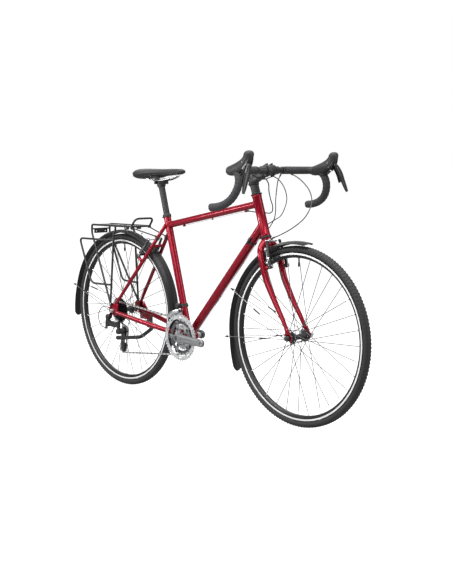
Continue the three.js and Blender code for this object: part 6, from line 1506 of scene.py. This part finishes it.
for wheel in ("front", "rear"):
    spot = brake(wheel)
    wire = paint(bar([spot(MIDDLE, 98, 8), spot(MIDDLE, 97.4, 33)], 0.75, 8), STEEL)
    ribs = [(0.8, 0)]
    for k in range(3):
        ribs += [(2.6, 0.3 + 2.7 * k), (3.4, 0.9 + 2.7 * k), (3.4, 1.8 + 2.7 * k), (2.4, 2.7 + 2.7 * k)]
    sleeve = turned([*ribs, (0.8, 8.6)], spot(MIDDLE, 98, 9.2), Y, 24)
    thing = weld(wire, paint(sleeve, MATT))
    dress(f"{wheel}_brake_wire_and_sleeve", thing, f"{wheel}_brake_arm_right", smooth=40)

# %% [markdown]
# ## Mudguards
#
# Each mudguard is a curved blade with a crowned section and rolled edges. Thin wire stays loop round
# it, held by a small clip at the edge on each side and by an eyelet at the dropout.

# %% Mudguard blades
CROWN = [(-25, 0), (-25.0, 2.0), (-23.4, 2.6), (-17, 7.0), (-9, 10.4), (0, 11.6), (9, 10.4), (17, 7.0),
         (23.4, 2.6), (25.0, 2.0), (25, 0), (23.6, 0.4), (16.4, 5.2), (8.4, 8.4), (0, 9.4), (-8.4, 8.4),
         (-16.4, 5.2), (-23.6, 0.4)]
GUARD_RADIUS, STAY_RADIUS = 348, 1.65
GUARD = finish("mudguard_plastic", (0.018, 0.018, 0.019), 0.42, grain=600, bump=0.06, vary=0.25, specular=0.3)


def guard(centre, start, end, steps, coarse):
    """A blade swept round the wheel's axle; its last part flares away from the wheel."""
    def place(ring, turn):
        share = ring / steps
        across, rise = CROWN[round(turn / (2 * math.pi) * len(CROWN)) % len(CROWN)]
        near_end = max(0, 1 - 10 * (1 - share), 1 - 10 * share)
        angle = (start + (end - start) * share
                 - math.copysign(0.05, share - 0.5) * near_end * (across / 25) ** 2)
        flare = 12 * max(0, 1 - coarse * (1 - share) / 3)
        radius = (GUARD_RADIUS + flare + rise * 1.1) / 1000
        return side_of(centre + ray_at(angle) * radius, across)

    return paint(wrap(steps, len(CROWN), place), GUARD)


def guard_stay(centre, anchor, angle, sleeve):
    """A wire from the eyelets round the blade, with a clip on each edge."""
    over = centre + ray_at(angle) * 0.3625
    line = [anchor(1), *[side_of(over, y) for y in (26.8, 24, -24, -26.8)], anchor(-1)]
    parts = [paint(bar(rounded(line, 4, 3), STAY_RADIUS, 12), STEEL)]
    for side in (1, -1):
        low, high = anchor(side), side_of(over, side * 26.8)
        way = (high - low).normalized()
        middle = low + way * (high - low).length * sleeve
        parts += [paint(bar([middle - way * 0.02, middle + way * 0.02], 3, 14), MATT),
                  paint(bar([high - way * 0.005, high + way * 0.011], 2.6, 14), MATT),
                  paint(block(shift(high, 0, -side * 1.2, 0), (9, 3.4, 9), 0.8), MATT),
                  paint(washer(0, 4.4, -1.9, 1.9, low, Y, 20, (0.4, 0.7)), SILVER)]
    return parts


rear_guard = at(-5, 0, WHEEL_RADIUS)
front_guard = at(1062.5, 0, WHEEL_RADIUS)
blade = guard(rear_guard, math.radians(-20), math.radians(190), 130, 26)
parts = guard_stay(rear_guard, lambda side: at(-15, side * 77, WHEEL_RADIUS), math.radians(166), 0.8)
low, high = stay_ends(1)
under = side_of(low.lerp(high, 0.74), 0)
away = (under - rear_guard).normalized()
parts.append(paint(pin(rear_guard + away * 0.3602, under - away * 0.0069, 6, 0.6, 20), SATIN))
dress("rear_mudguard_with_stays", weld(blade, *parts), "frame", "rear_mudguard", smooth=40)
blade = guard(front_guard, math.radians(79.5), math.radians(208.5), 90, 18)
parts = []
for angle, rise, sleeve in ((155, 5, 0.52), (186, -5, 0.36)):
    parts += guard_stay(front_guard, lambda side, rise=rise: at(1050, side * 58.8, WHEEL_RADIUS + rise),
                        math.radians(angle), sleeve)
crown_foot = on_head(-44.6)
away = (crown_foot - front_guard).normalized()
parts.append(paint(pin(front_guard + away * 0.3602, crown_foot, 6, 0.6, 20), SATIN))
dress("front_mudguard_with_stays", weld(blade, *parts), "steering", "front_mudguard", smooth=40)

# %% [markdown]
# ## Rack
#
# The rack is bent from round bar. Its deck has a flat strip down the middle and a hoop at the front,
# and each side is a thin frame that stands on the dropout, with a lower rail for a bag.

# %% Rack deck
DECK_Z, DECK_FRONT, DECK_REAR, DECK_HALF, DECK_BEND = 722, 118, -178, 50, 27
RACK_BLACK = finish("rack_coating", (0.018, 0.018, 0.019), 0.34, 0.1, grain=1000, bump=0.08, vary=0.25)


def cross_bar(x, z, radius):
    return bar([at(x, -DECK_HALF, z), at(x, DECK_HALF, z)], radius, 14)


parts = [cross_bar(DECK_FRONT + (DECK_REAR - DECK_FRONT) * share, DECK_Z, 2.9)
         for share in (0.04, 0.36, 0.68, 0.92)]
parts += [cross_bar(DECK_FRONT, DECK_Z, 4.4), cross_bar(DECK_REAR, DECK_Z - 20, 3.4)]
strip = block(at((DECK_FRONT + DECK_REAR) / 2, 0, DECK_Z + 0.6), (260, 22, 3.2), 1)
for k in range(4):
    x = -120 + 60 * k
    carve(strip, pin(at(x, 0, DECK_Z - 6), at(x, 0, DECK_Z + 8), 3.4, 0.1, 24))
PLATE_Z = DECK_Z - 31
rear_plate = block(at(DECK_REAR - 0.5, 0, PLATE_Z), (3, 74, 18), 1)
for y in (25, -25):
    carve(rear_plate, pin(at(DECK_REAR - 6, y, PLATE_Z), at(DECK_REAR + 6, y, PLATE_Z), 2.8, 0.1, 24))
parts += [strip, rear_plate]
bolts = []
for side in (1, -1):
    line = rounded([at(DECK_FRONT, side * DECK_HALF, DECK_Z), at(DECK_REAR, side * DECK_HALF, DECK_Z),
                    at(DECK_REAR, side * DECK_HALF, DECK_Z - 24)], DECK_BEND, 10)
    parts.append(bar(line, 4.7, 18))
    low, high = stay_ends(side)
    meet = low.lerp(high, 0.84) + stay_out * 0.0117
    start = at(DECK_FRONT, side * DECK_HALF, DECK_Z - 4.5)
    way = (meet - start).normalized()
    parts.append(bar([start, meet], 2.9, 14))
    foot = pin(meet - way * 0.006, meet + way * 0.006, 4.4, 0.6, 20)
    band = washer(8.1, 9.8, -5, 5, low.lerp(high, 0.84), (high - low).normalized(), 28)
    clip = block(shift(start, -1, 0, 1.5), (12, 11, 10), 1.2)
    parts += [foot, band, clip, block(at(62, side * 34, DECK_Z - 9), (20, 13, 12), 1.6)]
    bolts += [bolt(meet + stay_out * 0.0035, stay_out, 3.2, 2.4),
              bolt(shift(start, 0, side * 5.4, 1), Y * side, 3.2, 2.2),
              bolt(at(62, side * 40, DECK_Z - 9), Y * side, 4, 3)]
hoop = rounded([at(DECK_FRONT, -DECK_HALF, DECK_Z), at(DECK_FRONT + 28, -DECK_HALF, DECK_Z + 36),
                at(DECK_FRONT + 28, DECK_HALF, DECK_Z + 36), at(DECK_FRONT, DECK_HALF, DECK_Z)],
               DECK_BEND, 10)
parts += [bar(hoop, 4.7, 18), block(at(60, 0, DECK_Z - 10), (16, 10, 15), 1.2)]
dress("rack_deck_with_hoop", weld(paint(weld(*parts), RACK_BLACK), *bolts), "frame", "rear_rack_deck",
      smooth=40)

# %% Rack sides
RAIL_HIGH, RAIL_LOW, RAIL_OUT = 660, 459, 88
for name, side in SIDES:
    top = DECK_Z - 4.9
    foot = at(-6, side * 78.5, 374)
    knee = at(0, side * 59, top - 27)
    edge = side * DECK_HALF

    def on_upright(z):
        return knee.lerp(foot, (knee.z - z / 1000) / (knee.z - foot.z))

    upright = rounded([at(0, edge, top), at(0, edge, top - 13.5), knee, foot], 30, 8)
    leg = rounded([at(DECK_REAR, edge, DECK_Z - 24.4), at(DECK_REAR, edge, DECK_Z - 38), foot], 12, 8)
    rail = rounded([on_upright(RAIL_HIGH), at(-44, side * RAIL_OUT, RAIL_HIGH),
                    at(-222, side * RAIL_OUT, RAIL_HIGH), at(-135, side * RAIL_OUT, RAIL_LOW),
                    on_upright(RAIL_LOW)], DECK_BEND, 10)
    toe = block(shift(foot, 0, 0, 1), (14.4, 4.2, 18), 1.6)
    knob = bolt(shift(foot, 0, side * 1.8, -1), Y * side, 4.4, 2.8)
    joints = [washer(0, 5.4, -5, 5, on_upright(z), foot - knee, 20) for z in (RAIL_HIGH, RAIL_LOW)]
    tubes = [bar(line, 4.7, 18) for line in (upright, leg, rail)]
    frame_part = paint(weld(*tubes, toe, *joints), RACK_BLACK)
    dress(f"rack_side_{name}_with_rail", weld(frame_part, knob), "frame", f"rear_rack_side_{name}",
          smooth=40)

# %% [markdown]
# ## Seat
#
# The saddle is a slim padded cover on a shell. Its section is crowned above, drawn in below and flat
# underneath, and it changes from the wide rear to the narrow nose. Two rails under it pass through
# the clamp on the round head of the post.

# %% Seatpost
post_top = at(264.4, 0, 905.8)
post = bar([on_seat(420), post_top - seat_line * 0.008], 13.5, 40)
neck = turned([(13.5, -26), (13.6, -25), (13.6, -18), (11.6, -6), (0, -2), (0, -26)], post_top, seat_line, 40)
head_bar = pin(side_of(post_top, -14), side_of(post_top, 14), 13.9, 1.2, 44)
ring_line = washer(13.55, 13.75, -44, -43, post_top, seat_line, 40)
dress("seatpost_with_head", paint(weld(post, neck, head_bar, ring_line), SATIN), "seatpost", "seatpost")

# %% Saddle rails and clamp
def seat_spot(share, spread, z):
    return at(140 + 274 * share, 22 * spread, z)


rails = []
for side in (1, -1):
    line = rounded([seat_spot(0.12, 1.4 * side, 938.1), seat_spot(0.3, side, 924), seat_spot(0.6, side, 924),
                    seat_spot(0.86, 0.35 * side, 942)], 35, 12)
    rails.append(bar(line, 3.4, 18))
rails = paint(weld(*rails), SILVER)
lower = block(at(264.4, 0, 914.4), (34, 53, 13), 2)
carve(lower, pin(side_of(post_top, -40), side_of(post_top, 40), 14.3, 0.1, 48))
carve(lower, pin(on_seat(480), post_top + seat_line * 0.002, 14.4, 0.1, 48))
upper = block(at(264.4, 0, 927.4), (30, 52, 5.4), 1.6)
for side in (1, -1):
    groove = bar([at(240, side * 22, 924), at(290, side * 22, 924)], 3.6, 20)
    carve(upper, groove, keep=True)
    carve(lower, groove)
screws = []
for x in (248, 281):
    screws += [bolt(at(x, 0, 929.6), UP, 4.4, 2.4, DARK_STEEL),
               paint(pin(at(x, 0, 921), at(x, 0, 926), 2.6, 0.2, 16), STEEL)]
dress("saddle_rails_with_clamp", weld(rails, paint(weld(lower, upper), SATIN), *screws), "saddle",
      "saddle_rails_and_cradle", smooth=40)

# %% Saddle
LEATHER = finish("saddle_cover", (0.02, 0.02, 0.021), 0.5, grain=900, bump=0.6, vary=0.2, specular=0.4)
SADDLE = [(0, 0.66, 0.12, 0.5), (0.03, 0.88, 0.04, 0.85), (0.12, 1, 0, 1), (0.28, 0.96, 0.02, 0.86),
          (0.42, 0.62, 0.06, 0.56), (0.56, 0.3, 0.07, 0.4), (0.76, 0.08, 0.06, 0.24), (0.93, 0, 0.1, 0.05),
          (1, -0.12, 0.24, -0.5)]


def eased(rows, share):
    """Smooth values between the rows of a table whose first column is the share along it."""
    k = max(i for i, row in enumerate(rows[:-1]) if row[0] <= share)
    here, there = rows[k], rows[k + 1]
    before, after = rows[max(k - 1, 0)], rows[min(k + 2, len(rows) - 1)]
    span = there[0] - here[0]
    t = (share - here[0]) / span
    out = []
    for i in range(1, len(here)):
        slope0 = (there[i] - before[i]) / (there[0] - before[0]) * span
        slope1 = (after[i] - here[i]) / (after[0] - here[0]) * span
        out.append(between(here[i], there[i], slope0, slope1, t))
    return out


def saddle_spot(share, turn, grow=1.0):
    """A place on the cover, from the share along it and the direction round its section."""
    wide, top, deep = eased(SADDLE, share)
    half, depth = (38 + 110 * wide) / 2, 21 + 24 * deep
    c, s = math.cos(turn), math.sin(turn)
    across = math.copysign(abs(c) ** 0.72, c)
    rise = abs(s) ** 1.15 if s > 0 else -abs(s) ** 0.5
    across *= 1 - 0.13 * max(0, -rise)
    middle = 974 - 30 * top - depth / 2
    return at(140 + 274 * share, half * across * grow, middle + depth / 2 * rise * grow)


RINGS = 64
shares = [0.5 - 0.5 * math.cos(math.pi * k / RINGS) for k in range(RINGS + 1)]


def cover_spot(ring, turn):
    """A place on the cover, which closes in at both ends."""
    share = shares[ring]
    near_end = min(1, 14 * min(share, 1 - share) + 0.12)
    return saddle_spot(min(share, 0.999), turn, min(1, 0.55 + 0.45 * math.sin(near_end * math.pi / 2)))


cover = wrap(RINGS, 44, cover_spot)
right, left = [[saddle_spot(0.03 + 0.94 * k / 40, math.radians(turn)) for k in range(41)]
               for turn in (-14, 194)]
piping = bar(right + left[::-1], 1.3, 10, closed=True)
stitches = []
for k in range(46):
    share = 0.06 + 0.86 * k / 46
    for turn in (math.radians(-2), math.radians(182)):
        here, there = saddle_spot(share, turn, 1.004), saddle_spot(share + 0.009, turn, 1.004)
        stitches.append(bar([here, there], 0.45, 6))
thread = paint(weld(*stitches), MATT)
saddle = weld(paint(cover, LEATHER), paint(piping, GLOSS), thread)
dress("saddle_cover_with_piping", saddle, "saddle", "saddle", smooth=60)

# %% [markdown]
# ## Kickstand
#
# The stand's leg is folded back along the left chainstay and ends in a ribbed rubber foot.

# %% Kickstand
pivot = at(78, 84, 251)
housing = block(at(71, 82.6, 292.7), (28, 16.8, 68.4), 3)
heads = [bolt(at(71, 90.6, z), Y, 4.6, 2, DARK_STEEL) for z in (282, 308)]
bracket_part = weld(paint(housing, SATIN), *heads)
dress("kickstand_mount", bracket_part, "frame", "kickstand_bracket")
bend, end = at(1.9, 84, 205.1), at(-180, 84, 181.1)
foot = end + (bend - end).normalized() * 0.066
leg = bar(rounded([pivot, bend, foot.lerp(end, 0.5)], 28, 12), 8.6, 24)
hub_pin = pin(side_of(pivot, 77.2), side_of(pivot, 90.8), 7.6, 1, 32)
ribs = []
for k in range(7):
    ribs += [(10, 6 + 8 * k), (10, 11 + 8 * k), (9, 12 + 8 * k), (9, 13 + 8 * k)]
shoe = turned([(0, 0), (7.6, 0), (9.6, 3), *ribs, (9.6, 64), (8, 66), (0, 66)], end, foot - end, 28)
leg_part = weld(paint(weld(leg, hub_pin), SATIN), paint(shoe, MATT))
dress("kickstand_leg_with_foot", leg_part, "kickstand_leg", "kickstand_leg")

# %% [markdown]
# ## Cables
#
# Five housings keep the routes of the plain solids. Each ends in a short metal cap. Four of them
# reach from the frame or a brake arm to the handlebar. The bare wires were
# drawn with the tubes and the brakes that carry them.

# %% Housings
ROUTES = {
    "front_brake_housing": (2.5, "steering", [
        (919, 112, 949), (945, 106, 942), (984, 98, 925), (1035, 85, 891), (1068, 65, 856), (1080, 45, 826),
        (1072, 18, 785), (1036, -12, 747), (997, -36, 722), (974, -46, 712)]),
    "rear_brake_housing": (2.5, "frame", [
        (903, -84, 945), (903, -50, 938), (902, -12, 931), (900, 6, 912), (900, 8, 887), (906, 12, 852),
        (908, 20, 829), (903, 24, 809), (891, 25, 801), (867, 24, 801), (845, 18, 801), (820, 7, 804),
        (803, 1.5, 806.5), (790.6, 0, 807)]),
    "right_shift_housing": (2.2, "frame", [
        (893, -72, 946.5), (886, -40, 936), (886, 0, 930), (894, 38, 940), (914, 48, 927), (939, 50, 900),
        (952, 50, 871), (956, 48, 852), (952, 45, 829), (935, 38, 792), (908, 30, 774), (880, 24, 757.5),
        (868.2, 21, 745.7)]),
    "left_shift_housing": (2.2, "frame", [
        (901, 72, 948), (900, 58, 925), (900, 50, 887), (901, 44, 848), (903, 42, 809), (898, 40, 779),
        (884, 32, 749), (868, 24, 727), (852.8, 17, 710.8)]),
    "rear_gear_housing": (2.2, "frame", [
        (-17, -77.5, 355), (-51, -78, 360), (-82, -79, 343), (-96, -80, 316), (-92, -80, 288),
        (-72, -80, 268), (-42, -80, 262)]),
}
FRONT_BEND_START = 82
for name, (radius, body, points) in ROUTES.items():
    line = curve([at(*point) for point in points], 110)
    jacket = paint(bar(line, radius * 0.88, 14), CABLE)
    caps = []
    for tip, inner in ((line[0], line[3]), (line[-1], line[-4])):
        caps.append(paint(turned([(0, -0.1), (radius + 0.7, -0.1), (radius + 0.8, 0.6), (radius + 0.8, 8),
                                  (radius, 9)], tip, inner - tip, 16), SATIN))
    if name == "front_brake_housing":
        body = ("front_brake_arm_right", "steering", line[-1], line[FRONT_BEND_START])
    elif name != "rear_gear_housing":
        body = ("frame", "steering", line[-1], line[0])
    dress(f"{name}_with_caps", weld(jacket, *caps), body, name, smooth=50)

# %% [markdown]
# ## Last step
#
# The last cell brings the view layer up to date.

# %% Update the view layer
bpy.context.view_layer.update()
